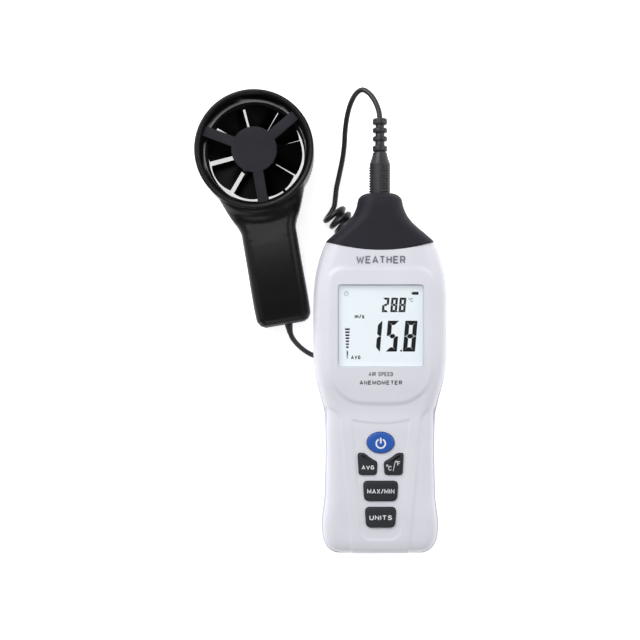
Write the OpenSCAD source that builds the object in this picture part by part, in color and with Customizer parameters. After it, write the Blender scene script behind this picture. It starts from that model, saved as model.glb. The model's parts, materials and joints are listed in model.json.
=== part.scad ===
// Handheld vane anemometer: a meter lying on its back, with a cabled vane probe beside it.
// +Z is up from the table, +Y runs along the meter towards its neck, +X to its right.
// The origin is on the table, in the middle of the footprint of meter and probe.

/* [Layout] */
// Overall width of meter and probe, laid side by side
set_w = 140.8; // [140.8:0.2:141.2]
// Overall length of meter and probe, from the meter's foot to the top of the ring
set_l = 258.4; // [258.4:0.2:258.8]
// Angle that the probe's handle leans at, in degrees
probe_tilt = 9.8; // [9.4:0.2:10]

/* [Meter case] */
// Width of the meter across its display
meter_w = 74.6; // [74:0.2:75]
// Width of the waist that the hand closes on
grip_w = 60.8; // [58:0.2:62]
// Length of the meter, from its foot to the top of the neck
meter_l = 200; // [199:0.5:200.5]
// Depth of the meter, from the table to the display's face
meter_h = 38; // [37:0.5:39]
// Height of the head's back above the table
head_lift = 16.5; // [16.2:0.1:17]
// Thickness of the case's walls
wall = 2.2; // [1.8:0.1:2.4]
// Gap between neighbouring mouldings
seam = 0.2; // [0.15:0.05:0.3]

/* [Display] */
// Width of the window
lens_w = 47.2; // [44:0.2:48]
// Length of the window along the meter
lens_l = 45.4; // [42:0.2:46]
// Thickness of the window
lens_t = 1.2; // [0.8:0.1:1.5]
// Distance from the meter's foot to the middle of the window
lens_y = 126.6; // [126:0.2:128]
// Width of the ledge that the window sits on
lens_ledge = 0.8; // [0.6:0.1:1]

/* [Keys] */
// How far a key goes down
key_travel = 1; // [0.5:0.1:1]
// How far a key stands proud of the case
key_proud = 1; // [0.6:0.1:1.4]
// Gap round a key in its opening
key_gap = 0.3; // [0.2:0.05:0.4]

/* [Battery] */
// Width of the block battery
battery_w = 26.5; // [26:0.1:26.5]
// Length of the block battery's body
battery_l = 46.4; // [45:0.1:46.4]
// Depth of the block battery
battery_h = 17.5; // [16.5:0.1:17.5]
// Radius of the battery door's hinge pins
door_pin_r = 0.8; // [0.6:0.05:0.85]

/* [Probe] */
// Outside diameter of the vane ring
ring_d = 66.6; // [66:0.1:67]
// Depth of the vane ring along the air's path
ring_h = 29.2; // [28:0.1:30]
// Diameter of the air duct through the ring
duct_d = 57.2; // [56.8:0.1:57.6]
// Distance from the middle of the ring to the end of the handle
handle_l = 99.4; // [98:0.1:100]
// Number of impeller blades
blades = 8; // [6:1:9]
// Angle of the blades to the plane of the ring, in degrees
blade_pitch = 27; // [20:1:30]
// Radius of the impeller's axle
axle_r = 0.75; // [0.5:0.05:1]

/* [Plug and cord] */
// Diameter of the cord
cord_d = 3; // [2.8:0.1:3]
// Outside diameter of the curly stretch
curl_d = 15; // [14:0.5:15]
// Diameter of the plug's grip
plug_d = 12.2; // [11.5:0.1:12.4]

/* [Hidden] */

$fn = 48;
eps = 0.01;

// Places on the table
meter_x = set_w / 2 - meter_w / 2;
meter_y = -set_l / 2;
probe_x = -set_w / 2 + ring_d / 2;
probe_y = set_l / 2 - ring_d / 2;

// Heights in the meter
split_z = 27;
floor_t = 2.6;
board_t = 1.6;
board_z = 24.4;
board_top = board_z + board_t;
glass_top = meter_h - wall - 0.6;

// The case: distance from the foot, half width, top and bottom.
half_w = meter_w / 2;
grip = grip_w / 2;
grip_top = meter_h - 2.5;
neck_r = 12.5;
case_curve = [
    [0, grip - 6.4, grip_top - 6, 8],
    [1.5, grip - 2.8, grip_top - 3.2, 4.4],
    [4, grip - 0.4, grip_top - 1.4, 1.6],
    [8, grip + 1.4, grip_top - 0.5, 0.3],
    [11, grip + 1.9, grip_top - 0.3, 0],
    [17, grip + 2.1, grip_top - 0.2, 0],
    [32, grip + 0.5, grip_top, 0],
    [60, grip, grip_top, 0],
    [76, grip + 0.4, grip_top + 0.4, 0],
    [86, half_w - 4.4, grip_top + 1.2, 0],
    [98, half_w - 1.4, grip_top + 2.2, 0],
    [110, half_w - 0.25, meter_h, head_lift * 0.56],
    [120, half_w - 0.05, meter_h, head_lift],
    [127, half_w, meter_h, head_lift],
    [142, half_w - 0.2, meter_h, head_lift],
    [153, half_w - 1.1, meter_h - 0.1, head_lift],
    [163, half_w - 3.3, meter_h - 0.3, head_lift],
    [173, half_w - 7.1, meter_h - 0.5, head_lift],
    [177, neck_r + 13.7, meter_h - 0.6, head_lift + 0.1],
    [181, neck_r + 8.9, meter_h - 0.7, head_lift + 0.2],
    [184.5, neck_r + 5.2, meter_h - 0.7, head_lift + 0.2],
    [188, neck_r + 2.6, meter_h - 0.8, head_lift + 0.3],
    [193, neck_r + 0.5, meter_h - 0.8, head_lift + 0.4],
    [197, neck_r - 0.4, meter_h - 1.3, head_lift + 0.8],
    [199, neck_r - 2.1, meter_h - 2.8, head_lift + 2.3],
    [meter_l, neck_r - 4.1, meter_h - 3.9, head_lift + 3.4]
];
front_corner = 9.5;
rear_corner = 14;
corner_step = 15;

// Where the white case ends and the black neck begins: an arc that bows towards the foot.
arc_r = 97.5;
arc_y = 168.4 + arc_r;

// Rows along the case, closer together where it curves
foot_rows = [0, 0.6, 1.5, 2.7, 4, 6, 8, 11, 17];
side_rows = [32, 46, 60, 70, 76, 81, 86, 92, 98, 101, 104, 107, 110, 113, 116, 120, 127, 142];
head_rows = [148, 153, 158, 163, 168, 173, 177];
neck_rows = [163, 168, 173, 175, 177, 179, 181, 184.5, 188, 193, 195, 197, 198, 199, 199.6, meter_l];

// Keys, from the meter's foot upwards
units_at = [0, 21.1];
max_min_at = [0, 35.6];
pair_at = [7.1, 50.5];
power_at = [0, 62.3];
power_size = [15, 11.5];
key_top = grip_top + key_proud;
key_points = 5;
flange_top = 32.4;
flange_t = 1.2;
stem_r = 2;
stem_bottom = 28;
dome_t = 0.8;
mat_z = 28.6;
mat_t = 1.2;

// Screws
case_screw_at = [[-19, 13], [19, 13], [-26, 160], [26, 160]];
board_screw_at = [[-22.5, 24], [22.5, 24], [-22.5, 88], [22.5, 88]];
boss_r = 3.2;
screw_r = 1.25;
head_r = 2.6;
head_h = 2;
rear_boss_r = 3.8;
lower_seat_z = 12;
upper_seat_z = 20;

// Battery bay and its door
bay_y0 = 24;
bay_y1 = 84;
bay_w = 31;
bay_wall = 1.4;
bay_roof = 22.6;
door_w = bay_w - 2 * seam;
door_edge_r = floor_t / 2;
door_pin_l = 2;
battery_y = bay_y0 + 2.6;

// Jack and plug
axis_z = split_z;
jack_front = 196;
jack_r = 6.5;
jack_back = 180;
jack_bore_r = 4.95;
jack_depth = 8.6;
tower_r = 4.1;
pin_circle = 2.2;
pin_r = 0.5;
shell_r = 4.75;
shell_t = 0.4;
shell_l = 8;
grip_y0 = jack_front + 0.3;
grip_y1 = 216.4;
taper_y1 = 223;
boot_y1 = 242;
boot_r = 4.05;
boot_core_r = 2.7;
boot_rings = [[223.6, 3.2], [229.4, 2.6], [234.1, 2.6], [238.6, 3.4]];

// Probe: distance from the middle of the ring, half width and top of the handle
ring_r = ring_d / 2;
duct_r = duct_d / 2;
probe_split = ring_h / 2;
mouth_r = ring_r - 1.4;
mouth_h = 9;
hand = 15.5;
handle_curve = [
    [14, 27.5, 27.8, 0],
    [30, 21.9, 27.4, 0],
    [38, 18.5, 24.6, 0],
    [46, hand, 22.2, 0],
    [60, hand, 22.6, 0],
    [84, hand + 0.2, 21.8, 0],
    [handle_l - 5, hand, 21, 0.5],
    [handle_l - 1.4, hand - 1.8, 19, 2.4],
    [handle_l, hand - 4.4, 16.2, 5]
];
handle_rows = [14, 22, 30, 34, 38, 42, 46, 60, 72, 84, 89, handle_l - 5, handle_l - 3, handle_l - 1.4,
    handle_l - 0.5, handle_l];
handle_corner = 5.5;
bridge_t = 2.4;
bridge_hub_r = 12.8;
spoke_w = 5.8;
spoke_angles = [-90, 30, 150];
spoke_end = 31;
front_bridge_z = 24.6;
rear_bridge_z = ring_h - front_bridge_z - bridge_t;
bearing_r = 2;
bearing_h = 2.4;
bearing_gap = 0.05;
bearing_boss_r = 3.4;
blade_r = 26.9;
blade_t = 1;
hub_r = 12;
hub_h = 10.4;
blade_sector = 360 / blades - 5.5;
blade_turn = 26;
probe_screw_at = [[-17.5, -29], [17.5, -29], [-10.4, -52], [10.4, -52], [-10.4, -90], [10.4, -90]];
gland_x = 2;
gland_z = 11;
gland_y0 = -handle_l + 3.4;
gland_y1 = -handle_l - 5.1;

// The cord's route, in the meter's own frame: from the plug's boot down to the table, the middle
// line of the curly stretch under the head, and on under the case to the probe's gland.
lead_route = [
    [0, 242, 27], [-0.6, 246.5, 26.6], [-2.6, 252, 25.4], [-5.6, 256.6, 23.8], [-9.4, 259.2, 21.8],
    [-13, 257.6, 19.2], [-16, 252.6, 15.8], [-18, 245.6, 12], [-19, 238, 8.6], [-19.4, 230.5, 5.8],
    [-20.6, 222.8, 3.6], [-22.6, 214, 2.2], [-25.4, 204.4, 1.6], [-27.6, 198.2, 1.5], [-29.4, 193, 1.5]
];
curl_route = [
    [-28.6, 193.9, 7.6], [-14.6, 180.4, 7.6], [-0.4, 166.6, 7.6], [12.4, 152.2, 7.6], [22, 136.4, 7.6]
];
tail_route = [
    [20.6, 135.6, 1.5], [15, 132.4, 1.5], [8, 128.4, 1.5], [-2, 122.4, 1.5], [-12, 116.4, 1.5],
    [-21, 111.4, 1.5], [-29, 108.4, 1.7], [-36.6, 109.2, 2.6], [-42, 112, 4.8], [-46.4, 115.9, 7.6],
    [-49.2, 119.6, 9.9], [-50.4, 122.6, 11]
];

function secant(t, i, c) = (t[i + 1][c] - t[i][c]) / (t[i + 1][0] - t[i][0]);

// Slope of a table's curve at row i, level wherever the table turns or runs flat
function slope(t, i, c) =
    i == 0 ? secant(t, 0, c) :
    i == len(t) - 1 ? secant(t, i - 1, c) :
    let (a = secant(t, i - 1, c), b = secant(t, i, c)) a * b <= 0 ? 0 : 2 * a * b / (a + b);

function row_of(t, s, i = 0) = i >= len(t) - 2 || s < t[i + 1][0] ? i : row_of(t, s, i + 1);

// Value of column c where the first column is s, on a smooth curve through the table's rows
function curve(t, s, c) =
    let (i = row_of(t, s), h = t[i + 1][0] - t[i][0], u = (s - t[i][0]) / h)
    (2 * u ^ 3 - 3 * u ^ 2 + 1) * t[i][c] + (u ^ 3 - 2 * u ^ 2 + u) * h * slope(t, i, c)
    + (3 * u ^ 2 - 2 * u ^ 3) * t[i + 1][c] + (u ^ 3 - u ^ 2) * h * slope(t, i + 1, c);

// Half of a rounded section, from its flat edge at z0 over to the crown at z1 (up if z1 > z0)
function half_section(w, z0, z1, r) =
    let (d = sign(z1 - z0), c = max(0.3, min(r, abs(z1 - z0) - 0.1, w - 0.4)))
    concat(
        [[w, z0]],
        [for (a = [0:corner_step:90]) [w - c + c * cos(a), z1 - d * c * (1 - sin(a))]],
        [for (a = [90:corner_step:180]) [-w + c + c * cos(a), z1 - d * c * (1 - sin(a))]],
        [[-w, z0]]
    );

// Closed solid through sections [x, z] at the given rows along Y
module skin(rows, sections) {
    n = len(sections[0]);
    points = [for (i = [0:len(rows) - 1], p = sections[i]) [p[0], rows[i], p[1]]];
    sides = [for (i = [0:len(rows) - 2], j = [0:n - 1])
        let (a = i * n + j, b = i * n + (j + 1) % n, c = b + n, d = a + n)
        each [[a, b, c], [a, c, d]]];
    first = [for (j = [n - 1:-1:0]) j];
    last = [for (j = [0:n - 1]) (len(rows) - 1) * n + j];
    polyhedron(points, concat(sides, [first, last]));
}

// Upper or lower half of the case, drawn in by inset, with its flat edge at z0
module case_half(rows, upper, inset, z0) {
    skin(rows, [for (y = rows)
        let (s = half_section(
            curve(case_curve, y, 1) - inset,
            z0,
            upper ? curve(case_curve, y, 2) - inset : curve(case_curve, y, 3) + inset,
            (upper ? front_corner : rear_corner) - inset))
        upper ? s : [for (i = [len(s) - 1:-1:0]) s[i]]]);
}

module meter() {
    translate([meter_x, meter_y, 0]) children();
}

module probe() {
    translate([probe_x, probe_y, 0]) rotate(probe_tilt) children();
}

// Rectangle w by l with rounded corners, extruded from z0 to z1
module slab(w, l, z0, z1, r = 1) {
    translate([0, 0, z0]) linear_extrude(z1 - z0)
        polygon([for (q = [0:3], a = [0:22.5:90])
            let (sx = [1, -1, -1, 1][q], sy = [1, 1, -1, -1][q], t = q * 90 + a)
            [sx * (w / 2 - r) + r * cos(t), sy * (l / 2 - r) + r * sin(t)]]);
}

// Everything on the neck's side of the arc where white meets black
module neck_side(r) {
    translate([0, arc_y, -eps]) cylinder(r = r, h = meter_h + 10, $fn = 180);
}

// Corner i of a polygon, moved out by d from both of its edges
function corner_out(p, i, d) =
    let (
        n = len(p), a = p[(i + n - 1) % n], b = p[i], c = p[(i + 1) % n],
        u = (b - a) / norm(b - a), v = (c - b) / norm(c - b),
        nu = [u[1], -u[0]], nv = [v[1], -v[0]]
    )
    b + d * (nu + nv) / (1 + nu * nv);

// Rounded version of a counter-clockwise polygon, grown by d
function rounded(p, r, d) =
    let (g = [for (i = [0:len(p) - 1]) corner_out(p, i, d)], n = len(g))
    [for (i = [0:n - 1])
        let (
            a = g[(i + n - 1) % n], b = g[i], c = g[(i + 1) % n],
            u = (a - b) / norm(a - b), v = (c - b) / norm(c - b)
        )
        for (k = [0:key_points])
            let (t = k / key_points) b + r * ((1 - t) ^ 2 * u + t ^ 2 * v)];

function key_outline(name, d) =
    name == "power" ?
        [for (a = [0:10:350]) [(power_size[0] / 2 + d) * cos(a), (power_size[1] / 2 + d) * sin(a)]] :
    name == "average" ?
        rounded([[-4.7, -5.9], [4.6, -5.9], [5.2, 1], [1.2, 3.2], [-2, 5.9], [-5.4, 5.9]], 1.65, d) :
    name == "temperature" ?
        rounded([[-4.6, -5.9], [4.7, -5.9], [5.4, 5.9], [2, 5.9], [-1.2, 3.2], [-5.2, 1]], 1.65, d) :
    name == "max_min" ? rounded([[-8.8, -5.4], [8.8, -5.4], [9.5, 5.4], [-9.5, 5.4]], 3, d) :
    rounded([[-7.7, -5.5], [7.7, -5.5], [8.5, 5.5], [-8.5, 5.5]], 3, d);

function key_at(name) =
    name == "power" ? power_at :
    name == "average" ? [-pair_at[0], pair_at[1]] :
    name == "temperature" ? pair_at :
    name == "max_min" ? max_min_at : units_at;

key_names = ["power", "average", "temperature", "max_min", "units"];

module key_prism(name, d, z0, z1) {
    translate([key_at(name)[0], key_at(name)[1], z0])
        linear_extrude(z1 - z0) polygon(key_outline(name, d));
}

// A key: cap through the case, flange under it, and the stem that reaches the dome
module key(name) {
    key_prism(name, 0, flange_top - flange_t, key_top);
    key_prism(name, 1, flange_top - flange_t, flange_top);
    translate([key_at(name)[0], key_at(name)[1], stem_bottom])
        cylinder(r = stem_r, h = flange_top - flange_t - stem_bottom + eps);
}

module front_shell() {
    color("whitesmoke") meter() difference() {
        union() {
            difference() {
                case_half(concat(foot_rows, side_rows, head_rows), true, 0, split_z);
                case_half(concat([wall, 4, 6, 8, 11, 17], side_rows, head_rows, [181]),
                    true, wall, split_z - 1);
            }
            for (p = case_screw_at) translate([p[0], p[1], split_z])
                cylinder(r = boss_r, h = curve(case_curve, p[1], 2) - wall + 0.6 - split_z);
            for (p = board_screw_at) translate([p[0], p[1], board_top])
                cylinder(r = boss_r - 0.4, h = curve(case_curve, p[1], 2) - wall + 0.6 - board_top);
        }
        neck_side(arc_r + seam / 2);
        for (p = case_screw_at) translate([p[0], p[1], split_z - eps]) cylinder(r = screw_r, h = 6);
        for (p = board_screw_at) translate([p[0], p[1], board_top - eps]) cylinder(r = 0.9, h = 5);
        translate([0, lens_y, 0]) {
            slab(lens_w - 2 * lens_ledge, lens_l - 2 * lens_ledge, split_z, meter_h + 1, 1.6);
            slab(lens_w + 2 * seam, lens_l + 2 * seam, meter_h - lens_t - 0.3, meter_h + 1, 2.2);
        }
        for (k = key_names) key_prism(k, key_gap, split_z, meter_h + 1);
    }
}

module rear_shell() {
    color("whitesmoke") meter() difference() {
        union() {
            difference() {
                case_half(concat(foot_rows, side_rows, head_rows), false, 0, split_z - seam);
                case_half(concat([wall, 4, 6, 8, 11, 17], side_rows, head_rows, [181]),
                    false, wall, split_z + 1);
            }
            // battery bay: a box open to the table
            translate([-bay_w / 2 - bay_wall, bay_y0 - bay_wall, 1])
                cube([bay_w + 2 * bay_wall, bay_y1 - bay_y0 + 2 * bay_wall, bay_roof + bay_wall - 1]);
            // thicker floor round the door's hinge pins
            translate([-bay_w / 2 - door_pin_l - 1.2, bay_y0 - bay_wall, 1])
                cube([bay_w + 2 * door_pin_l + 2.4, 5, 2.8]);
            for (p = case_screw_at) translate([p[0], p[1], p[1] < 50 ? 1.5 : head_lift + 1.5])
                cylinder(r = rear_boss_r, h = split_z - seam - (p[1] < 50 ? 1.5 : head_lift + 1.5));
        }
        neck_side(arc_r + seam / 2);
        translate([-bay_w / 2, bay_y0, -1]) cube([bay_w, bay_y1 - bay_y0, bay_roof + 1]);
        translate([-bay_w / 2 - door_pin_l - 0.2, bay_y0 + door_edge_r + seam, door_edge_r])
            rotate([0, 90, 0]) cylinder(r = door_pin_r + 0.05, h = bay_w + 2 * door_pin_l + 0.4);
        for (p = case_screw_at) translate([p[0], p[1], 0]) {
            seat = p[1] < 50 ? lower_seat_z : upper_seat_z;
            translate([0, 0, -1]) cylinder(r = head_r + 0.2, h = seat + 1);
            cylinder(r = screw_r + 0.2, h = split_z + 1);
        }
        // way for the battery's leads into the case
        translate([bay_w / 2 - 4, bay_y1 - eps, 12]) cube([3, bay_wall + 2 * eps, 4]);
    }
}

module neck_cap() {
    color([0.13, 0.13, 0.15]) meter() difference() {
        union() {
            intersection() {
                difference() {
                    union() {
                        case_half(neck_rows, true, 0, split_z - eps);
                        case_half(neck_rows, false, 0, split_z);
                    }
                    case_half([162, 168, 173, 177], true, wall, split_z - 1);
                    case_half([162, 168, 173, 177], false, wall, split_z + 1);
                }
                neck_side(arc_r - seam / 2);
            }
            // tongue that the two halves of the case close on
            translate([-20, 161, head_lift + wall + 0.5])
                cube([40, 18, meter_h - head_lift - 2 * wall - 2]);
        }
        translate([-18, 159, head_lift + wall + 2.1]) cube([36, 18.6, meter_h - head_lift - 2 * wall - 5.2]);
        translate([0, jack_back - 3, axis_z]) rotate([-90, 0, 0]) {
            cylinder(r = jack_r + 2.2, h = 3);
            cylinder(r = jack_r, h = jack_front - jack_back + 3);
            cylinder(r = plug_d / 2 + 0.4, h = meter_l);
        }
    }
}

module display_window() {
    color([0.85, 0.93, 0.95, 0.4]) meter() translate([0, lens_y, 0])
        slab(lens_w, lens_l, meter_h - lens_t - 0.3, meter_h - 0.3, 2);
}

// A flat rectangular frame round the display's middle
module display_frame(w, l, border, z0, z1) {
    translate([0, lens_y, 0]) difference() {
        slab(w, l, z0, z1, 1);
        slab(w - 2 * border, l - 2 * border, z0 - eps, z1 + eps, 0.6);
    }
}

module display_gasket() {
    color("dimgray") meter() display_frame(49, 47.2, 1.4, glass_top + 0.05, meter_h - wall - 0.2);
}

module lcd_glass() {
    color([0.8, 0.88, 0.86]) meter() translate([0, lens_y, 0]) slab(50, 50, glass_top - 2.6, glass_top, 0.4);
}

module backlight() {
    color("white") meter() translate([0, lens_y, 0]) slab(49, 43, glass_top - 6, glass_top - 2.8, 0.4);
}

module lcd_frame() {
    color("lightgray") meter() {
        display_frame(53, 53, 1.3, board_top, glass_top + 0.05);
        display_frame(53, 53, 1.8, glass_top + 0.04, meter_h - wall - 0.35);
    }
}

module contact_strips() {
    color("pink") meter() for (s = [-1, 1])
        translate([0, lens_y + s * 23.3, 0]) slab(46, 2.4, board_top, glass_top - 2.6, 0.3);
}

module main_board() {
    color("darkgreen") meter() difference() {
        translate([0, 84, 0]) slab(54, 140, board_z, board_top, 1);
        for (p = board_screw_at) translate([p[0], p[1], board_z - 1]) cylinder(r = 1.3, h = 4);
        for (p = case_screw_at) translate([p[0], p[1], board_z - 1]) cylinder(r = rear_boss_r + 0.4, h = 4);
    }
}

module board_parts() {
    color([0.12, 0.12, 0.12]) meter() {
        // processor under its resin blob, amplifier, regulator, crystal and lead terminals
        translate([0, 118, board_z - 1.8]) cylinder(r = 9, h = 1.8);
        for (p = [[-16, 98, 8, 6], [14, 98, 6, 5], [-14, 140, 9, 7], [15, 140, 7, 5]])
            translate([p[0] - p[2] / 2, p[1] - p[3] / 2, board_z - 1.7]) cube([p[2], p[3], 1.7]);
        translate([14, 120, board_z - 3]) cylinder(r = 1.5, h = 3);
        for (x = [-4.5:3:4.5]) translate([x - 1, 151, board_z - 1.2]) cube([2, 2, 1.2]);
    }
}

module buzzer() {
    color([0.1, 0.1, 0.1]) meter() translate([-16, 119, board_z - 4.5]) difference() {
        cylinder(r = 6, h = 4.5);
        translate([0, 0, -eps]) cylinder(r = 1, h = 1.5);
    }
}

module dome_switches() {
    color("silver") meter() for (k = key_names)
        translate([key_at(k)[0], key_at(k)[1], board_top]) cylinder(r1 = 4.2, r2 = 2.4, h = dome_t);
}

module keypad_mat() {
    color("gray") meter() difference() {
        union() {
            translate([0, 41.5, 0]) slab(30, 57, mat_z, mat_z + mat_t, 2);
            for (x = [-13, 13], y = [24, 68]) translate([x, y, board_top])
                cylinder(r = 1.5, h = mat_z - board_top + eps);
        }
        for (k = key_names) translate([key_at(k)[0], key_at(k)[1], mat_z - 1])
            cylinder(r = stem_r + 0.4, h = mat_t + 2);
    }
}

module battery() {
    color("darkslategray") meter() translate([0, battery_y + battery_l / 2, floor_t + 0.4]) {
        slab(battery_w, battery_l, 0, battery_h, 2.4);
        // snap terminals
        for (s = [-1, 1]) translate([s * 6.35, battery_l / 2 - eps, battery_h / 2]) rotate([-90, 0, 0])
            cylinder(r = s < 0 ? 2.9 : 3.8, h = 2.4);
    }
}

module battery_snap() {
    color([0.1, 0.1, 0.1]) meter() {
        y0 = battery_y + battery_l + 2.6;
        translate([0, y0, floor_t + 0.4 + battery_h / 2]) rotate([-90, 0, 0]) slab(26, 12.6, 0, 3, 2);
        // two leads, up through the bay's wall to the board
        for (s = [0, 1]) {
            translate([bay_w / 2 - 3.2 + 1.4 * s, y0 + 3 - eps, 14]) rotate([-90, 0, 0])
                cylinder(r = 0.6, h = 8.2);
            translate([bay_w / 2 - 3.2 + 1.4 * s, y0 + 10.8, 13.4]) cylinder(r = 0.6, h = board_z - 13.4);
        }
    }
}

module battery_door() {
    color("whitesmoke") meter() {
        y0 = bay_y0 + seam;
        y1 = bay_y1 - seam;
        difference() {
            union() {
                translate([-door_w / 2, y0 + door_edge_r, 0]) cube([door_w, y1 - y0 - door_edge_r, floor_t]);
                translate([-door_w / 2, y0 + door_edge_r, door_edge_r]) rotate([0, 90, 0])
                    cylinder(r = door_edge_r, h = door_w);
            }
            // finger notch and arrow-like thumb grooves
            translate([0, y1 + 2, -1]) cylinder(r = 6, h = 1.8);
            for (i = [0:2]) translate([-7, y1 - 9 - 2 * i, -eps]) cube([14, 0.8, 0.5]);
        }
        translate([-door_w / 2 - door_pin_l, y0 + door_edge_r, door_edge_r]) rotate([0, 90, 0])
            cylinder(r = door_pin_r, h = door_w + 2 * door_pin_l);
    }
}

// Pan-head screw standing on its head, which is below z0; its driver slot is a cross
module screw(z0, l, r, hr, hh) {
    difference() {
        union() {
            translate([0, 0, z0 - eps]) cylinder(r = r, h = l);
            translate([0, 0, z0 - hh]) cylinder(r1 = hr * 0.8, r2 = hr, h = hh);
        }
        for (a = [0, 90]) translate([0, 0, z0 - hh]) rotate(a) cube([hr * 1.1, 0.5, 1.4], center = true);
    }
}

module case_screws() {
    color("silver") meter() for (p = case_screw_at) translate([p[0], p[1], 0])
        screw(p[1] < 50 ? lower_seat_z : upper_seat_z,
            p[1] < 50 ? 20 : 12, screw_r, head_r, head_h);
}

module board_screws() {
    color("silver") meter() for (p = board_screw_at) translate([p[0], p[1], 0])
        screw(board_z, 6, 0.9, 1.7, 1.2);
}

module jack_socket() {
    color([0.2, 0.2, 0.2]) meter() translate([0, 0, axis_z]) rotate([-90, 0, 0]) difference() {
        union() {
            translate([0, 0, jack_back]) cylinder(r = jack_r, h = jack_front - jack_back);
            translate([0, 0, jack_back - 2]) cylinder(r = jack_r + 2, h = 2 + eps);
        }
        translate([0, 0, jack_front - jack_depth]) difference() {
            cylinder(r = jack_bore_r, h = jack_depth + 1);
            translate([0, 0, -1]) cylinder(r = tower_r, h = jack_depth);
        }
        for (a = [45:90:315]) rotate(a) translate([pin_circle, 0, jack_front - jack_depth])
            cylinder(r = pin_r + 0.1, h = jack_depth + 1);
    }
}

module jack_leads() {
    color("firebrick") meter() for (i = [0:3]) {
        x = -4.5 + 3 * i;
        translate([x, 153, board_z - 0.6]) rotate([-90, 0, 0]) cylinder(r = 0.5, h = 21.4);
        translate([x, 174, board_z - 0.8]) cylinder(r = 0.5, h = 2);
        translate([x, 173.8, board_z + 0.8]) rotate([-90, 0, 0]) cylinder(r = 0.5, h = jack_back - 2 - 173.8);
    }
}

// The plug's own pieces are turned about its axis, which runs along +Y
module plug() {
    translate([meter_x, meter_y, axis_z]) rotate([-90, 0, 0]) children();
}

module plug_grip() {
    color([0.12, 0.12, 0.13]) plug() {
        translate([0, 0, grip_y0]) cylinder(r = plug_d / 2, h = grip_y1 - grip_y0);
        translate([0, 0, grip_y1 - eps]) cylinder(r1 = plug_d / 2, r2 = boot_r - 0.2, h = taper_y1 - grip_y1);
    }
}

module plug_boot() {
    color([0.12, 0.12, 0.13]) plug() {
        translate([0, 0, taper_y1]) cylinder(r = boot_core_r, h = boot_y1 - taper_y1);
        for (b = boot_rings) translate([0, 0, b[0]]) cylinder(r = boot_r, h = b[1]);
    }
}

module plug_shell() {
    color("silver") plug() translate([0, 0, grip_y0 - shell_l]) difference() {
        cylinder(r = shell_r, h = shell_l);
        translate([0, 0, -eps]) cylinder(r = shell_r - shell_t, h = shell_l + 1);
    }
}

module plug_pins() {
    color("gold") plug() for (a = [45:90:315]) rotate(a)
        translate([pin_circle, 0, grip_y0 - 6.4]) cylinder(r = pin_r, h = 6.4);
}

// Point on the smooth curve through a route's points; u runs from 0 to the last point's number
function on_route(p, u) =
    let (
        n = len(p), i = min(floor(u), n - 2), t = u - i,
        b = p[i], c = p[i + 1],
        a = i > 0 ? p[i - 1] : 2 * b - c,
        d = i < n - 2 ? p[i + 2] : 2 * c - b
    )
    0.5 * (2 * b + (c - a) * t + (2 * a - 5 * b + 4 * c - d) * t ^ 2 + (3 * b - a - 3 * c + d) * t ^ 3);

// Round tube swept along a route, with per rings for each of its stretches
module tube(route, r, sides, per) {
    steps = (len(route) - 1) * per;
    line = [for (k = [0:steps]) on_route(route, k / per)];
    rings = [for (k = [0:steps])
        let (
            ahead = line[min(k + 1, steps)] - line[max(k - 1, 0)],
            along = ahead / norm(ahead),
            flat = cross(along, [0, 0, 1]), side = flat / norm(flat), up = cross(side, along)
        )
        [for (j = [0:sides - 1]) line[k] + r * (side * cos(360 * j / sides) + up * sin(360 * j / sides))]];
    points = [for (ring = rings, p = ring) p];
    faces = concat(
        [for (k = [0:steps - 1], j = [0:sides - 1])
            let (a = k * sides + j, b = k * sides + (j + 1) % sides)
            each [[a, b, b + sides], [a, b + sides, a + sides]]],
        [[for (j = [sides - 1:-1:0]) j]],
        [[for (j = [0:sides - 1]) steps * sides + j]]
    );
    polyhedron(points, faces);
}

module cord_lead() {
    color([0.1, 0.1, 0.1]) meter() tube(lead_route, cord_d / 2, 8, 2);
}

module cord_curl() {
    color([0.1, 0.1, 0.1]) meter() tube(curl_route, curl_d / 2, 16, 3);
}

module cord_tail() {
    color([0.1, 0.1, 0.1]) meter() tube(tail_route, cord_d / 2, 8, 2);
}

module cord_gland() {
    color([0.1, 0.1, 0.1]) probe() translate([gland_x, gland_y0, gland_z]) rotate([90, 0, 0]) {
        cylinder(r = 3.4, h = 1.4);
        cylinder(r = 2.3, h = 3.4);
        translate([0, 0, 3.4 - eps]) cylinder(r1 = 2.3, r2 = 1.7, h = gland_y0 - gland_y1 - 3.4);
    }
}

// Upper or lower half of the handle, drawn in by inset
module handle_half(rows, upper, inset, z0) {
    mirror([0, 1, 0]) skin(rows, [for (v = rows)
        let (s = half_section(
            curve(handle_curve, v, 1) - inset,
            z0,
            upper ? curve(handle_curve, v, 2) - inset : curve(handle_curve, v, 3) + inset,
            handle_corner - inset / 2))
        upper ? s : [for (i = [len(s) - 1:-1:0]) s[i]]]);
}

// Half of the ring as a turned band that flares to a thin lip; z1 is its free face
module ring_half(z0, z1) {
    d = sign(z1 - z0);
    rotate_extrude($fn = 120) polygon(concat(
        [[duct_r - 0.5, z0], [ring_r, z0], [ring_r, z1 - 0.6 * d], [ring_r - 0.6, z1], [mouth_r, z1]],
        [for (a = [75:-15:0]) [mouth_r - (mouth_r - duct_r) * cos(a), z1 - d * mouth_h * (1 - sin(a))]],
        [[duct_r - 0.5, z1 - d * (mouth_h + 1)]]
    ));
}

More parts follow.
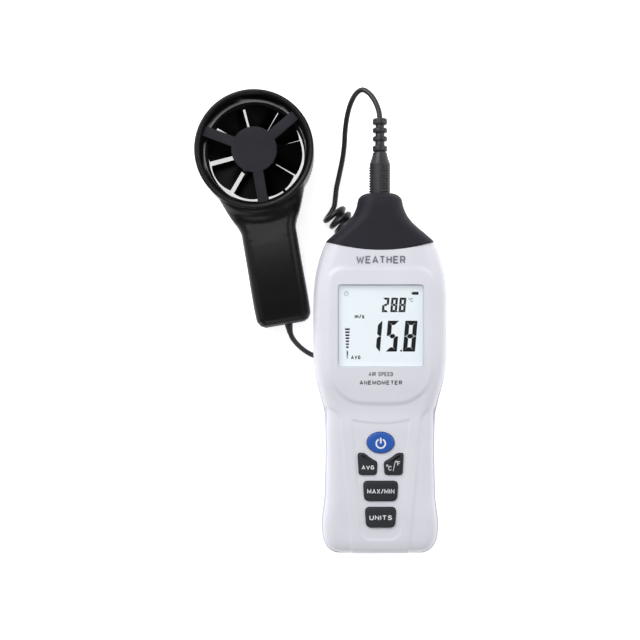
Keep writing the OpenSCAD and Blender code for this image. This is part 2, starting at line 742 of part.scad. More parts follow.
module probe_cuts(upper) {
    z = upper ? front_bridge_z : rear_bridge_z;
    // air duct, and pockets that the bridge's spokes sit in
    translate([0, 0, -1]) cylinder(r = duct_r, h = ring_h + 2, $fn = 120);
    for (a = spoke_angles) rotate(a)
        translate([duct_r - 1, -spoke_w / 2 - 0.1, z - 0.1])
            cube([spoke_end - duct_r + 1.1, spoke_w + 0.2, bridge_t + 0.2]);
    // hollow handle, and the channel from the lower spoke into it
    handle_half([40, 46, 60, 84, handle_l - 6, handle_l - 3], upper, 2.2,
        upper ? probe_split - 1 : probe_split + 1);
    translate([-2, -44, probe_split - 3]) cube([4, 44 - duct_r + 1, 6]);
    translate([-2, -33, rear_bridge_z + 0.6]) cube([4, 4, probe_split - rear_bridge_z]);
}

module probe_front() {
    color([0.1, 0.1, 0.11]) probe() difference() {
        union() {
            ring_half(probe_split, ring_h);
            handle_half(handle_rows, true, 0, probe_split);
            for (p = probe_screw_at) translate([p[0], p[1], probe_split]) cylinder(r = 2, h = 6.4);
        }
        probe_cuts(true);
        for (p = probe_screw_at) translate([p[0], p[1], probe_split - eps]) cylinder(r = 0.9, h = 5);
        translate([gland_x, gland_y0 + eps, gland_z]) rotate([90, 0, 0]) cylinder(r = 2.3, h = 9);
    }
}

module probe_back() {
    color([0.1, 0.1, 0.11]) probe() difference() {
        union() {
            ring_half(probe_split - seam, 0);
            handle_half(handle_rows, false, 0, probe_split - seam);
            for (p = probe_screw_at) translate([p[0], p[1], 1])
                cylinder(r = 2.9, h = probe_split - seam - 1);
        }
        probe_cuts(false);
        for (p = probe_screw_at) translate([p[0], p[1], 0]) {
            translate([0, 0, -1]) cylinder(r = 1.9, h = 5);
            cylinder(r = 1.1, h = ring_h);
        }
        translate([gland_x, gland_y0 + eps, gland_z]) rotate([90, 0, 0]) cylinder(r = 2.3, h = 9);
        translate([gland_x, gland_y0 + 0.1, gland_z]) rotate([90, 0, 0]) cylinder(r = 3.5, h = 1.6);
        temperature_stem(0.1);
    }
}

// Hub and three spokes of a bridge, from z up; the spokes are a hair thinner than the hub
module bridge(z) {
    translate([0, 0, z]) cylinder(r = bridge_hub_r, h = bridge_t, $fn = 96);
    for (a = spoke_angles) rotate(a) translate([bridge_hub_r - 3, -spoke_w / 2, z + 0.1])
        cube([spoke_end - bridge_hub_r + 3, spoke_w, bridge_t - 0.2]);
}

module front_bridge() {
    color([0.2, 0.2, 0.22]) probe() difference() {
        union() {
            bridge(front_bridge_z);
            translate([0, 0, front_bridge_z - 2.4]) cylinder(r = bearing_boss_r, h = 3);
        }
        translate([0, 0, front_bridge_z - 2.4 - eps]) cylinder(r = bearing_r, h = bearing_h + eps);
        translate([0, 0, front_bridge_z - eps]) cylinder(r = 1, h = 1);
    }
}

module rear_bridge() {
    color([0.2, 0.2, 0.22]) probe() difference() {
        union() {
            bridge(rear_bridge_z);
            translate([0, 0, rear_bridge_z + bridge_t - eps]) difference() {
                cylinder(r = bridge_hub_r, h = 3.4, $fn = 96);
                translate([0, 0, -1]) cylinder(r = bridge_hub_r - 1.4, h = 6, $fn = 96);
            }
            translate([0, 0, rear_bridge_z + bridge_t - 1]) cylinder(r = bearing_boss_r, h = 3.4);
        }
        translate([0, 0, rear_bridge_z + bridge_t]) cylinder(r = bearing_r, h = bearing_h + eps);
        translate([0, 0, rear_bridge_z + bridge_t - 1]) cylinder(r = 1, h = 1 + eps);
        // groove for the pickup's leads, out along the lower spoke
        translate([-1, -spoke_end - 1, rear_bridge_z + 1.2]) cube([2, spoke_end - 8, 6]);
    }
}

module bearing(z) {
    color("firebrick") probe() translate([0, 0, z]) difference() {
        cylinder(r = bearing_r, h = bearing_h);
        translate([0, 0, -eps]) cylinder(r = axle_r + bearing_gap, h = bearing_h + 2 * eps);
    }
}

// One flat blade, set at its pitch across a sector of the wheel
module blade() {
    half = blade_sector / 2;
    far = blade_r + 4;
    intersection() {
        rotate([blade_pitch, 0, 0]) translate([hub_r - 1, -20, -blade_t / 2]) cube([far, 40, blade_t]);
        translate([0, 0, -10]) linear_extrude(20)
            polygon([[0, 0], [far * cos(half), -far * sin(half)], [far * cos(half), far * sin(half)]]);
        translate([0, 0, -10]) cylinder(r = blade_r, h = 20, $fn = 96);
    }
}

module impeller() {
    color([0.08, 0.08, 0.09]) probe() translate([0, 0, probe_split]) difference() {
        union() {
            for (i = [0:blades - 1]) rotate(360 * i / blades + blade_turn) blade();
            translate([0, 0, -hub_h / 2]) difference() {
                cylinder(r = hub_r, h = hub_h, $fn = 96);
                translate([0, 0, 1.6]) difference() {
                    cylinder(r = hub_r - 1.4, h = hub_h, $fn = 96);
                    translate([0, 0, -1]) cylinder(r = 3, h = hub_h);
                }
            }
        }
        translate([0, 0, -hub_h]) cylinder(r = axle_r, h = 2 * hub_h);
    }
}

module axle() {
    color("silver") probe() translate([0, 0, rear_bridge_z + bridge_t + 0.2])
        cylinder(r = axle_r, h = front_bridge_z - rear_bridge_z - bridge_t - 0.4);
}

module pickup_board() {
    color("darkgreen") probe() {
        translate([0, 0, rear_bridge_z + bridge_t + 0.2]) difference() {
            cylinder(r = bridge_hub_r - 1.8, h = 1);
            translate([0, 0, -1]) cylinder(r = bearing_boss_r + 0.4, h = 3);
        }
        for (x = [-7, 4.6]) translate([x, -1.4, rear_bridge_z + bridge_t + 1.2 - eps]) cube([2.4, 2.8, 1.4]);
    }
}

// Stem of the bead thermistor, which reaches into the duct under the blades; grow widens it
module temperature_stem(grow) {
    rotate(-62) translate([24.5, 0, 7]) rotate([0, 90, 0]) cylinder(r = 0.9 + grow, h = 6.5);
}

module temperature_sensor() {
    color("goldenrod") probe() rotate(-62) translate([24.5, 0, 7]) rotate([0, 90, 0])
        rotate_extrude($fn = 32)
            polygon([[0, -1.3], [0.7, -1.2], [1.2, -0.7], [1.4, 0], [1.2, 0.7], [0.9, 1.1], [0.9, 6.5], [0, 6.5]]);
}

module probe_board() {
    color("darkgreen") probe() {
        translate([0, -71, 0]) slab(14, 40, 11.6, 12.8, 0.6);
        for (y = [-82, -64]) translate([-3, y, 12.8 - eps]) cube([6, 5, 1.5]);
    }
}

module probe_screws() {
    color("silver") probe() for (p = probe_screw_at) translate([p[0], p[1], 0]) screw(4, 13, 0.9, 1.7, 1.2);
}

front_shell();
rear_shell();
neck_cap();
display_window();
display_gasket();
lcd_glass();
backlight();
lcd_frame();
contact_strips();
main_board();
board_parts();
buzzer();
dome_switches();
keypad_mat();
color("royalblue") meter() key("power");  // power_key
color([0.2, 0.2, 0.22]) meter() key("average");  // average_key
color([0.2, 0.2, 0.22]) meter() key("temperature");  // temperature_key
color([0.2, 0.2, 0.22]) meter() key("max_min");  // max_min_key
color([0.2, 0.2, 0.22]) meter() key("units");  // units_key
battery();
battery_snap();
battery_door();
case_screws();
board_screws();
jack_socket();
jack_leads();
plug_grip();
plug_boot();
plug_shell();
plug_pins();
cord_lead();
cord_curl();
cord_tail();
cord_gland();
probe_front();
probe_back();
front_bridge();
rear_bridge();
bearing(front_bridge_z - 2.4);  // front_bearing
bearing(rear_bridge_z + bridge_t);  // rear_bearing
impeller();
axle();
pickup_board();
temperature_sensor();
probe_board();
probe_screws();
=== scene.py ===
"""A handheld weather meter's looks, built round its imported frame.

Shapes are worked out in millimetres, in the meter's own frame (x from its middle line, y from its
foot, z up from the table), in the probe's (from the middle of its ring, handle towards -y) or in
the plug's (z along its axis), and settle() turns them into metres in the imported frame.
"""

import json
import math

import bmesh
import bpy
from mathutils import Matrix, Vector


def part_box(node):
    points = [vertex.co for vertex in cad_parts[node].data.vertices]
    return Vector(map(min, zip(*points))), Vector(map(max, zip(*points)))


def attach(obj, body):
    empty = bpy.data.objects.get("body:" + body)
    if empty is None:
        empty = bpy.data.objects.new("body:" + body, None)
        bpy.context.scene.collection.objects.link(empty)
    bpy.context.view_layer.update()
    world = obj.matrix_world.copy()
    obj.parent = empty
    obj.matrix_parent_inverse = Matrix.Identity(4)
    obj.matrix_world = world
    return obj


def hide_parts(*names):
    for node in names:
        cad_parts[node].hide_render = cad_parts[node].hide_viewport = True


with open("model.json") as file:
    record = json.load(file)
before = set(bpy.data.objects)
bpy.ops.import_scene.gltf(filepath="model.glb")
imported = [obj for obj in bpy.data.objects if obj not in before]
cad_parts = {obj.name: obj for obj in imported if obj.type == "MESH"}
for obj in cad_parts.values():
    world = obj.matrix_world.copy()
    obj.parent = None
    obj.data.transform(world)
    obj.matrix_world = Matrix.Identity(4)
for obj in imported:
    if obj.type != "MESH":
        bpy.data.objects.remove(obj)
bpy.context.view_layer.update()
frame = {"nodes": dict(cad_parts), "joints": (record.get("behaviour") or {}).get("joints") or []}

MM = 0.001
TILT = math.radians(9.8)  # between the probe's handle and the meter's middle line

shell_low, shell_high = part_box("front_shell")
boot_low, boot_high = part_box("plug_boot")
spin = next(j for j in frame["joints"] if j["name"] == "impeller_spin")
METER = Matrix.Translation(((shell_low.x + shell_high.x) / 2, shell_low.y, 0)) @ Matrix.Scale(MM, 4)
PROBE = (
    Matrix.Translation((spin["pos_m"][0], spin["pos_m"][1], 0))
    @ Matrix.Rotation(TILT, 4, "Z")
    @ Matrix.Scale(MM, 4)
)
AXIS_Z = (boot_low.z + boot_high.z) / 2 / MM
PLUG = METER @ Matrix.Translation((0, 0, AXIS_Z)) @ Matrix.Rotation(-math.pi / 2, 4, "X")

# ---------------------------------------------------------------- camera, lights, table

CAMERA_HEIGHT = 0.690
CAMERA_MIDDLE = (-0.0003, 0.0006)
FACE_HEIGHT = 0.028  # where the view's width is measured
VIEW_WIDTH = 0.3564
SENSOR = 36

camera_data = bpy.data.cameras.new("camera")
camera_data.sensor_width = SENSOR
camera_data.lens = SENSOR * (CAMERA_HEIGHT - FACE_HEIGHT) / VIEW_WIDTH
camera_data.clip_start = 0.01
camera = bpy.data.objects.new("camera", camera_data)
camera.location = (*CAMERA_MIDDLE, CAMERA_HEIGHT)
bpy.context.scene.collection.objects.link(camera)
bpy.context.scene.camera = camera
bpy.context.scene.view_settings.view_transform = "Standard"


def softbox(name, place, size, power):
    """A square area light at place, aimed at the middle of the table."""
    data = bpy.data.lights.new(name, "AREA")
    data.size = size
    data.energy = power
    light = bpy.data.objects.new(name, data)
    light.location = place
    light.rotation_euler = (-Vector(place)).to_track_quat("-Z", "Y").to_euler()
    bpy.context.scene.collection.objects.link(light)


softbox("key_softbox", (-0.55, 0.70, 0.80), 0.6, 7.0)
softbox("top_softbox", (-0.14, 0.31, 1.10), 0.2, 1.1)
softbox("fill_softbox", (0.85, 0.30, 0.65), 0.6, 2.0)
softbox("low_softbox", (-0.05, -1.10, 0.55), 0.35, 1.5)


def linear(colour):
    """Linear RGBA of an sRGB hex colour."""
    parts = [int(colour[i : i + 2], 16) / 255 for i in (1, 3, 5)]
    return [c / 12.92 if c <= 0.04045 else ((c + 0.055) / 1.055) ** 2.4 for c in parts] + [1.0]


def add(tree, kind, inputs=None, links=None, **settings):
    """Adds a node with its settings, its input values, and its links from other nodes' sockets."""
    node = tree.nodes.new(kind)
    for key, value in settings.items():
        setattr(node, key, value)
    for key, value in (inputs or {}).items():
        node.inputs[key].default_value = value
    for key, socket in (links or {}).items():
        tree.links.new(socket, node.inputs[key])
    return node


# Brightness of the tent's wall by height, from the floor's level at 0 to straight overhead at 1
TENT_FLOOR, TENT_OPENING = 0.9, 0.02
TENT_WALL = ((0.35, 1.0), (0.8, 0.95), (0.92, 0.5), (0.98, 0.06))
CURTAIN_Y = (-0.85, -0.25)
CURTAIN_DIM = 0.05
TENT_STRENGTH = 0.72


def light_tent():
    """Sky of a light tent: bright walls, a dark curtain behind the foot, and a dark opening
    overhead for the camera."""
    world = bpy.data.worlds.new("light_tent")
    bpy.context.scene.world = world
    world.use_nodes = True
    tree = world.node_tree
    tree.nodes.clear()
    coords = add(tree, "ShaderNodeTexCoord")
    parts = add(tree, "ShaderNodeSeparateXYZ", links={0: coords.outputs["Generated"]})
    ramp = add(tree, "ShaderNodeValToRGB", links={0: parts.outputs["Z"]})
    stops = ramp.color_ramp.elements
    stops[0].color = (TENT_FLOOR, TENT_FLOOR, TENT_FLOOR, 1)
    stops[1].color = (TENT_OPENING, TENT_OPENING, TENT_OPENING, 1)
    for place, level in TENT_WALL:
        stop = stops.new(place)
        stop.color = (level, level, level * 1.01, 1)
    curtain = add(
        tree,
        "ShaderNodeMapRange",
        {"From Min": CURTAIN_Y[0], "From Max": CURTAIN_Y[1], "To Min": CURTAIN_DIM, "To Max": 1.0},
        {"Value": parts.outputs["Y"]},
        interpolation_type="SMOOTHSTEP",
    )
    hung = add(
        tree,
        "ShaderNodeVectorMath",
        None,
        {0: ramp.outputs["Color"], 1: curtain.outputs[0]},
        operation="MULTIPLY",
    )
    sky = add(tree, "ShaderNodeBackground", {"Strength": TENT_STRENGTH}, {"Color": hung.outputs[0]})
    add(tree, "ShaderNodeOutputWorld", links={"Surface": sky.outputs[0]})


light_tent()

# ---------------------------------------------------------------- shapes in millimetres


def secant(table, i, column):
    """Mean slope of a column between row i and the next."""
    return (table[i + 1][column] - table[i][column]) / (table[i + 1][0] - table[i][0])


def slope(table, i, column):
    """Slope at row i, level wherever the table turns or runs flat."""
    if i == 0:
        return secant(table, 0, column)
    if i == len(table) - 1:
        return secant(table, i - 1, column)
    before, after = secant(table, i - 1, column), secant(table, i, column)
    return 0 if before * after <= 0 else 2 * before * after / (before + after)


def curve(table, s, column):
    """Value of a column where the first column is s, on a smooth curve through the table's rows."""
    i = 0
    while i < len(table) - 2 and s >= table[i + 1][0]:
        i += 1
    h = table[i + 1][0] - table[i][0]
    u = (s - table[i][0]) / h
    return (
        (2 * u**3 - 3 * u**2 + 1) * table[i][column]
        + (u**3 - 2 * u**2 + u) * h * slope(table, i, column)
        + (3 * u**2 - 2 * u**3) * table[i + 1][column]
        + (u**3 - u**2) * h * slope(table, i + 1, column)
    )


def smoothstep(low, high, x):
    """Rises smoothly from 0 at low to 1 at high."""
    t = min(1, max(0, (x - low) / (high - low)))
    return t * t * (3 - 2 * t)


def steps(low, high, count):
    """count + 1 even values from low to high."""
    return [low + (high - low) * i / count for i in range(count + 1)]


def on_route(route, u):
    """Point on the smooth curve through a route's points; u runs from 0 to the last one's number."""
    i = min(int(u), len(route) - 2)
    t = u - i
    b, c = Vector(route[i]), Vector(route[i + 1])
    a = Vector(route[i - 1]) if i > 0 else 2 * b - c
    d = Vector(route[i + 2]) if i < len(route) - 2 else 2 * c - b
    bend = (2 * a - 5 * b + 4 * c - d) * t**2 + (3 * b - a - 3 * c + d) * t**3
    return 0.5 * (2 * b + (c - a) * t + bend)


def solid(name, points, faces, closed=True):
    """Object of these points and faces, still in its own frame and in millimetres; a closed one's
    faces are turned outwards."""
    mesh = bpy.data.meshes.new(name)
    mesh.from_pydata([tuple(p) for p in points], [], faces)
    if closed:
        edit = bmesh.new()
        edit.from_mesh(mesh)
        bmesh.ops.recalc_face_normals(edit, faces=edit.faces)
        edit.to_mesh(mesh)
        edit.free()
    made = bpy.data.objects.new(name, mesh)
    bpy.context.scene.collection.objects.link(made)
    return made


def skin(name, rings):
    """Closed skin over rings of equal length, with a cap on the first and the last."""
    n = len(rings[0])
    points = [p for ring in rings for p in ring]
    faces = []
    for i in range(len(rings) - 1):
        for j in range(n):
            a, b = i * n + j, i * n + (j + 1) % n
            faces.append((a, b, b + n, a + n))
    last = (len(rings) - 1) * n
    faces += [tuple(reversed(range(n))), tuple(range(last, last + n))]
    return solid(name, points, faces)


def prism(name, outline, z0, z1):
    """Straight prism of a counter-clockwise outline."""
    return skin(name, [[(x, y, z0) for x, y in outline], [(x, y, z1) for x, y in outline]])


def rectangle(w, l, r, x=0, y=0, arc=8):
    """Counter-clockwise outline of a w by l rectangle with rounded corners, in the middle of x, y."""
    outline = []
    for quarter, (sx, sy) in enumerate(((1, 1), (-1, 1), (-1, -1), (1, -1))):
        for turn in steps(0, 90, arc):
            t = math.radians(90 * quarter + turn)
            corner = (x + sx * (w / 2 - r), y + sy * (l / 2 - r))
            outline.append((corner[0] + r * math.cos(t), corner[1] + r * math.sin(t)))
    return outline


def circle(r, count, x=0, y=0):
    """Counter-clockwise outline of a circle."""
    return [(x + r * math.cos(a), y + r * math.sin(a)) for a in steps(0, 2 * math.pi, count)[:-1]]


def lathe(name, profile, count):
    """Turned solid of a closed profile of (radius, z), which never reaches the axis itself."""
    n = len(profile)
    points, faces = [], []
    for i in range(count):
        a = 2 * math.pi * i / count
        points += [(r * math.cos(a), r * math.sin(a), z) for r, z in profile]
        for j in range(n):
            here, there = i * n, (i + 1) % count * n
            k = (j + 1) % n
            faces.append((here + j, there + j, there + k, here + k))
    return solid(name, points, faces)


def spindle(name, profile, count):
    """Turned solid of an open profile of (radius, z) from bottom to top, with flat ends."""
    return skin(name, [[(x, y, z) for x, y in circle(r, count)] for r, z in profile])


def bake(piece):
    """Turns a piece's modifiers into its plain mesh."""
    depsgraph = bpy.context.evaluated_depsgraph_get()
    mesh = bpy.data.meshes.new_from_object(piece.evaluated_get(depsgraph))
    piece.modifiers.clear()
    old, piece.data = piece.data, mesh
    bpy.data.meshes.remove(old)
    return piece


def combine(piece, operation, *tools):
    """Boolean of a piece with each tool, which is used up."""
    for tool in tools:
        modifier = piece.modifiers.new("combine", "BOOLEAN")
        modifier.operation = operation
        modifier.solver = "MANIFOLD"
        modifier.object = tool
    bake(piece)
    for tool in tools:
        bpy.data.objects.remove(tool)
    return piece


def soften(piece, width, segments=3):
    """Rounds a piece's sharp edges."""
    modifier = piece.modifiers.new("soften", "BEVEL")
    modifier.width = width
    modifier.segments = segments
    modifier.limit_method = "ANGLE"
    modifier.angle_limit = math.radians(50)
    return bake(piece)


def settle(piece, place, body, material, replaced=(), sharp=35):
    """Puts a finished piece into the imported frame, and gives it its body, finish and shading."""
    piece.data.transform(place)
    piece.data.materials.clear()
    piece.data.materials.append(material)
    piece.data.shade_smooth()
    piece.data.set_sharp_from_angle(angle=math.radians(sharp))
    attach(piece, body)
    if replaced:
        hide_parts(*replaced)
    return piece


def array_tree():
    """Node tree that repeats a piece, each copy shifted and turned about z by one more step."""
    tree = bpy.data.node_groups.new("array", "GeometryNodeTree")
    face = tree.interface
    face.new_socket("Geometry", in_out="INPUT", socket_type="NodeSocketGeometry")
    for name, kind in (
        ("Piece", "Object"),
        ("Count", "Int"),
        ("Start", "Float"),
        ("Turn", "Float"),
        ("Shift", "Vector"),
        ("Material", "Material"),
    ):
        face.new_socket(name, in_out="INPUT", socket_type="NodeSocket" + kind)
    face.new_socket("Geometry", in_out="OUTPUT", socket_type="NodeSocketGeometry")
    inputs = add(tree, "NodeGroupInput").outputs
    index = add(tree, "GeometryNodeInputIndex").outputs[0]
    shift = add(
        tree, "ShaderNodeVectorMath", None, {0: inputs["Shift"], "Scale": index}, operation="SCALE"
    )
    turn = add(
        tree,
        "ShaderNodeMath",
        None,
        {0: index, 1: inputs["Turn"], 2: inputs["Start"]},
        operation="MULTIPLY_ADD",
    )
    spots = add(
        tree, "GeometryNodePoints", None, {"Count": inputs["Count"], "Position": shift.outputs[0]}
    )
    angles = add(tree, "ShaderNodeCombineXYZ", None, {"Z": turn.outputs[0]})
    piece = add(tree, "GeometryNodeObjectInfo", None, {"Object": inputs["Piece"]})
    copies = add(
        tree,
        "GeometryNodeInstanceOnPoints",
        None,
        {
            "Points": spots.outputs[0],
            "Instance": piece.outputs["Geometry"],
            "Rotation": angles.outputs[0],
        },
    )
    real = add(tree, "GeometryNodeRealizeInstances", None, {0: copies.outputs[0]})
    painted = add(
        tree,
        "GeometryNodeSetMaterial",
        None,
        {"Geometry": real.outputs[0], "Material": inputs["Material"]},
    )
    add(tree, "NodeGroupOutput", None, {0: painted.outputs[0]})
    return tree


ARRAY = array_tree()


def repeat(name, piece, count, material, start=0.0, turn=0.0, shift=(0, 0, 0)):
    """count copies of a piece, which is used up, as one plain mesh."""
    made = solid(name, [], [])
    modifier = made.modifiers.new("array", "NODES")
    modifier.node_group = ARRAY
    sockets = {s.name: s.identifier for s in ARRAY.interface.items_tree if s.in_out == "INPUT"}
    values = {
        "Piece": piece,
        "Count": count,
        "Start": start,
        "Turn": turn,
        "Shift": shift,
        "Material": material,
    }
    for key, value in values.items():
        modifier[sockets[key]] = value
    bake(made)
    bpy.data.objects.remove(piece)
    return made


# Strokes of each sign, in a box one unit wide and high
SIGNS = {
    "A": [[(0, 0), (0.5, 1), (1, 0)], [(0.17, 0.3), (0.83, 0.3)]],
    "C": [[(1, 0.76), (0.82, 0.95), (0.6, 1), (0.4, 1), (0.13, 0.9), (0, 0.66), (0, 0.34), (0.13, 0.1),
        (0.4, 0), (0.6, 0), (0.82, 0.05), (1, 0.24)]],
    "D": [[(0, 0.5), (0, 0), (0.5, 0), (0.84, 0.12), (1, 0.38), (1, 0.62), (0.84, 0.88), (0.5, 1), (0, 1),
        (0, 0.5)]],
    "E": [[(1, 1), (0, 1), (0, 0), (1, 0)], [(0, 0.52), (0.86, 0.52)]],
    "F": [[(1, 1), (0, 1), (0, 0)], [(0, 0.5), (0.84, 0.5)]],
    "G": [[(0.96, 0.78), (0.8, 0.95), (0.58, 1), (0.4, 1), (0.13, 0.9), (0, 0.66), (0, 0.34), (0.13, 0.1),
        (0.4, 0), (0.6, 0), (0.85, 0.07), (1, 0.2), (1, 0.46), (0.56, 0.46)]],
    "H": [[(0, 0), (0, 1)], [(1, 0), (1, 1)], [(0, 0.52), (1, 0.52)]],
    "I": [[(0, 0), (0, 1)]],
    "M": [[(0, 0), (0, 1), (0.5, 0.2), (1, 1), (1, 0)]],
    "N": [[(0, 0), (0, 1), (1, 0), (1, 1)]],
    "O": [[(0, 0.5), (0, 0.3), (0.15, 0.08), (0.4, 0), (0.6, 0), (0.85, 0.08), (1, 0.3), (1, 0.7),
        (0.85, 0.92), (0.6, 1), (0.4, 1), (0.15, 0.92), (0, 0.7), (0, 0.5)]],
    "P": [[(0, 0), (0, 1), (0.7, 1), (0.94, 0.9), (1, 0.74), (0.94, 0.57), (0.7, 0.46), (0, 0.46)]],
    "R": [[(0, 0), (0, 1), (0.7, 1), (0.94, 0.9), (1, 0.74), (0.94, 0.57), (0.7, 0.46), (0, 0.46)],
        [(0.6, 0.46), (1, 0)]],
    "S": [[(0.96, 0.8), (0.8, 0.95), (0.5, 1), (0.2, 0.95), (0.04, 0.76), (0.2, 0.58), (0.8, 0.44),
        (1, 0.24), (0.8, 0.05), (0.5, 0), (0.2, 0.04), (0, 0.22)]],
    "T": [[(0, 1), (1, 1)], [(0.5, 1), (0.5, 0)]],
    "U": [[(0, 1), (0, 0.28), (0.15, 0.07), (0.4, 0), (0.6, 0), (0.85, 0.07), (1, 0.28), (1, 1)]],
    "V": [[(0, 1), (0.5, 0), (1, 1)]],
    "W": [[(0, 1), (0.26, 0), (0.5, 0.8), (0.74, 0), (1, 1)]],
    "X": [[(0, 0), (1, 1)], [(0, 1), (1, 0)]],
    "/": [[(0, -0.05), (1, 1.05)]],
    "m": [[(0, 0), (0, 0.72)], [(0, 0.5), (0.15, 0.7), (0.37, 0.7), (0.5, 0.52), (0.5, 0)],
        [(0.5, 0.5), (0.65, 0.7), (0.87, 0.7), (1, 0.52), (1, 0)]],
    "s": [[(0.95, 0.6), (0.75, 0.72), (0.25, 0.72), (0.04, 0.58), (0.2, 0.42), (0.8, 0.32), (0.96, 0.15),
        (0.75, 0), (0.25, 0), (0, 0.12)]],
    " ": [],
}
# Widths of the signs that aren't one unit wide, and the gap between two signs
SIGN_WIDTHS = {
    "A": 1.15, "I": 0.0, "M": 1.3, "O": 1.08, "V": 1.15, "W": 1.6, "/": 0.6, " ": 0.35, "m": 1.5, "s": 0.9,
}
SIGN_GAP = 0.32
MITRE_LIMIT = 0.5
INK = 0.03


def thicken(piece, thick):
    """Gives flat print its ink's thickness."""
    modifier = piece.modifiers.new("thick", "SOLIDIFY")
    modifier.thickness = thick
    modifier.offset = 1
    return bake(piece)


def flat(name, outlines, z, thick=INK):
    """Thin print of several outlines."""
    points, faces = [], []
    for outline in outlines:
        start = len(points)
        points += [(x, y, z) for x, y in outline]
        faces.append(tuple(range(start, start + len(outline))))
    return thicken(solid(name, points, faces, closed=False), thick)


def arc_strip(name, x, y, r, stroke, z, start=0, end=360, count=48):
    """Thin print of an arc with a stroke's width, from one angle to another in degrees."""
    points = []
    for a in steps(math.radians(start), math.radians(end), count):
        for edge in (r - 0.5 * stroke, r + 0.5 * stroke):
            points.append((x + edge * math.cos(a), y + edge * math.sin(a), z))
    faces = [(2 * i, 2 * i + 1, 2 * i + 3, 2 * i + 2) for i in range(count)]
    return thicken(solid(name, points, faces, closed=False), INK)


def ribbon(path, stroke):
    """Outline of a stroke along a path, its corners mitred and the sharpest of them clipped."""
    ring = path[0] == path[-1]
    path = [Vector(p) for p in path]
    left, right = [], []
    for i, p in enumerate(path):
        before = path[i] - path[i - 1] if i else (path[-1] - path[-2] if ring else path[1] - p)
        after = path[i + 1] - p if i + 1 < len(path) else (path[1] - path[0] if ring else before)
        side = [Vector((-d.y, d.x)).normalized() for d in (before, after)]
        middle = (side[0] + side[1]).normalized()
        reach = stroke / 2 / max(middle.dot(side[0]), MITRE_LIMIT)
        left.append(p + reach * middle)
        right.append(p - reach * middle)
    return [tuple(p) for p in right + left[::-1]]


def lettering(name, text, height, middle, z, width, stroke, thick=INK):
    """Printed signs of a given height, overall width and stroke, as thin pieces."""
    widths = [SIGN_WIDTHS.get(sign, 1.0) for sign in text]
    unit = (width - stroke * len(text)) / (sum(widths) + SIGN_GAP * (len(text) - 1))
    x, y = middle[0] - (width - stroke) / 2, middle[1] - (height - stroke) / 2
    outlines = []
    for sign, wide in zip(text, widths):
        for path in SIGNS[sign]:
            place = [(x + px * wide * unit, y + py * (height - stroke)) for px, py in path]
            outlines.append(ribbon(place, stroke))
        x += (wide + SIGN_GAP) * unit + stroke
    return flat(name, outlines, z, thick)


def merge(name, pieces):
    """One object of several pieces."""
    points, faces = [], []
    for piece in pieces:
        start = len(points)
        points += [tuple(v.co) for v in piece.data.vertices]
        faces += [tuple(start + i for i in p.vertices) for p in piece.data.polygons]
        bpy.data.objects.remove(piece)
    return solid(name, points, faces)


# ---------------------------------------------------------------- materials


def start_material(name):
    """A new material with an empty node tree, and that tree."""
    material = bpy.data.materials.new(name)
    material.use_nodes = True
    material.node_tree.nodes.clear()
    return material, material.node_tree


def surfaced(name, tones, rough, grain, depth, spread=0.05, patch=0.03, surface=None):
    """A moulded, cast or plated surface.

    tones are its two close colours, which drift into each other over patches of a size; rough is
    its mean roughness and spread what that varies by; grain is the size of its texture and depth
    the texture's height. patch, grain and depth are in metres.
    """
    material, tree = start_material(name)
    place = add(tree, "ShaderNodeTexCoord").outputs["Object"]
    drift = add(tree, "ShaderNodeTexNoise", {"Scale": 1 / patch, "Detail": 3.0}, {"Vector": place})
    colour = add(tree, "ShaderNodeValToRGB", None, {0: drift.outputs[0]})
    stops = colour.color_ramp.elements
    stops[0].position, stops[0].color = 0.35, linear(tones[0])
    stops[1].position, stops[1].color = 0.65, linear(tones[1])
    fine = add(tree, "ShaderNodeTexNoise", {"Scale": 1 / grain, "Detail": 2.0}, {"Vector": place})
    gloss = add(
        tree,
        "ShaderNodeMapRange",
        {"To Min": rough - spread, "To Max": rough + spread},
        {"Value": drift.outputs[0]},
    )
    bump = add(
        tree, "ShaderNodeBump", {"Strength": 1.0, "Distance": depth}, {"Height": fine.outputs[0]}
    )
    shader = add(
        tree,
        "ShaderNodeBsdfPrincipled",
        surface or {},
        {
            "Base Color": colour.outputs["Color"],
            "Roughness": gloss.outputs[0],
            "Normal": bump.outputs[0],
        },
    )
    add(tree, "ShaderNodeOutputMaterial", None, {"Surface": shader.outputs[0]})
    return material



def gleam(level):
    """A surface that mirrors less of the light around it than the usual 0.5 of a clear gloss."""
    return {"Specular IOR Level": level}


DULL = gleam(0.25)

# White ABS from a spark-eroded mould: a fine satin grain that breaks up the highlights.
abs_white = surfaced("abs_white_satin", ("#E0E0E8", "#DCDCE5"), 0.42, 0.0005, 0.00001)
# Black ABS of the neck, with a deeper matt grain and a blue cast.
abs_black_matt = surfaced("abs_black_matt", ("#1D1D25", "#202129"), 0.6, 0.0006, 0.00002, surface=DULL)
# Black ABS of the probe's housing, polished to a satin.
abs_black_satin = surfaced("abs_black_satin", ("#0C0C0D", "#101011"), 0.34, 0.0006, 0.000004, surface=DULL)
# Black ABS of the duct's wall, rough, painted darker than the housing and mirroring almost nothing:
# painted shade inside the duct.
abs_black_duct_shade = surfaced(
    "abs_black_duct_shade", ("#070708", "#0B0B0C"), 0.9, 0.0006, 0.00004, surface=gleam(0.02)
)
# Glass-filled nylon of the bridges: its fibres leave a grey, matt grain.
nylon_filled = surfaced(
    "nylon_glass_filled", ("#28272C", "#333238"), 0.6, 0.0004, 0.00003, surface=gleam(0.08)
)
# Black polycarbonate of the vane: thin and even, with the dull skin that an etched mould leaves.
polycarbonate_black = surfaced(
    "polycarbonate_black", ("#040405", "#070708"), 0.45, 0.002, 0.000004, surface=gleam(0.05)
)
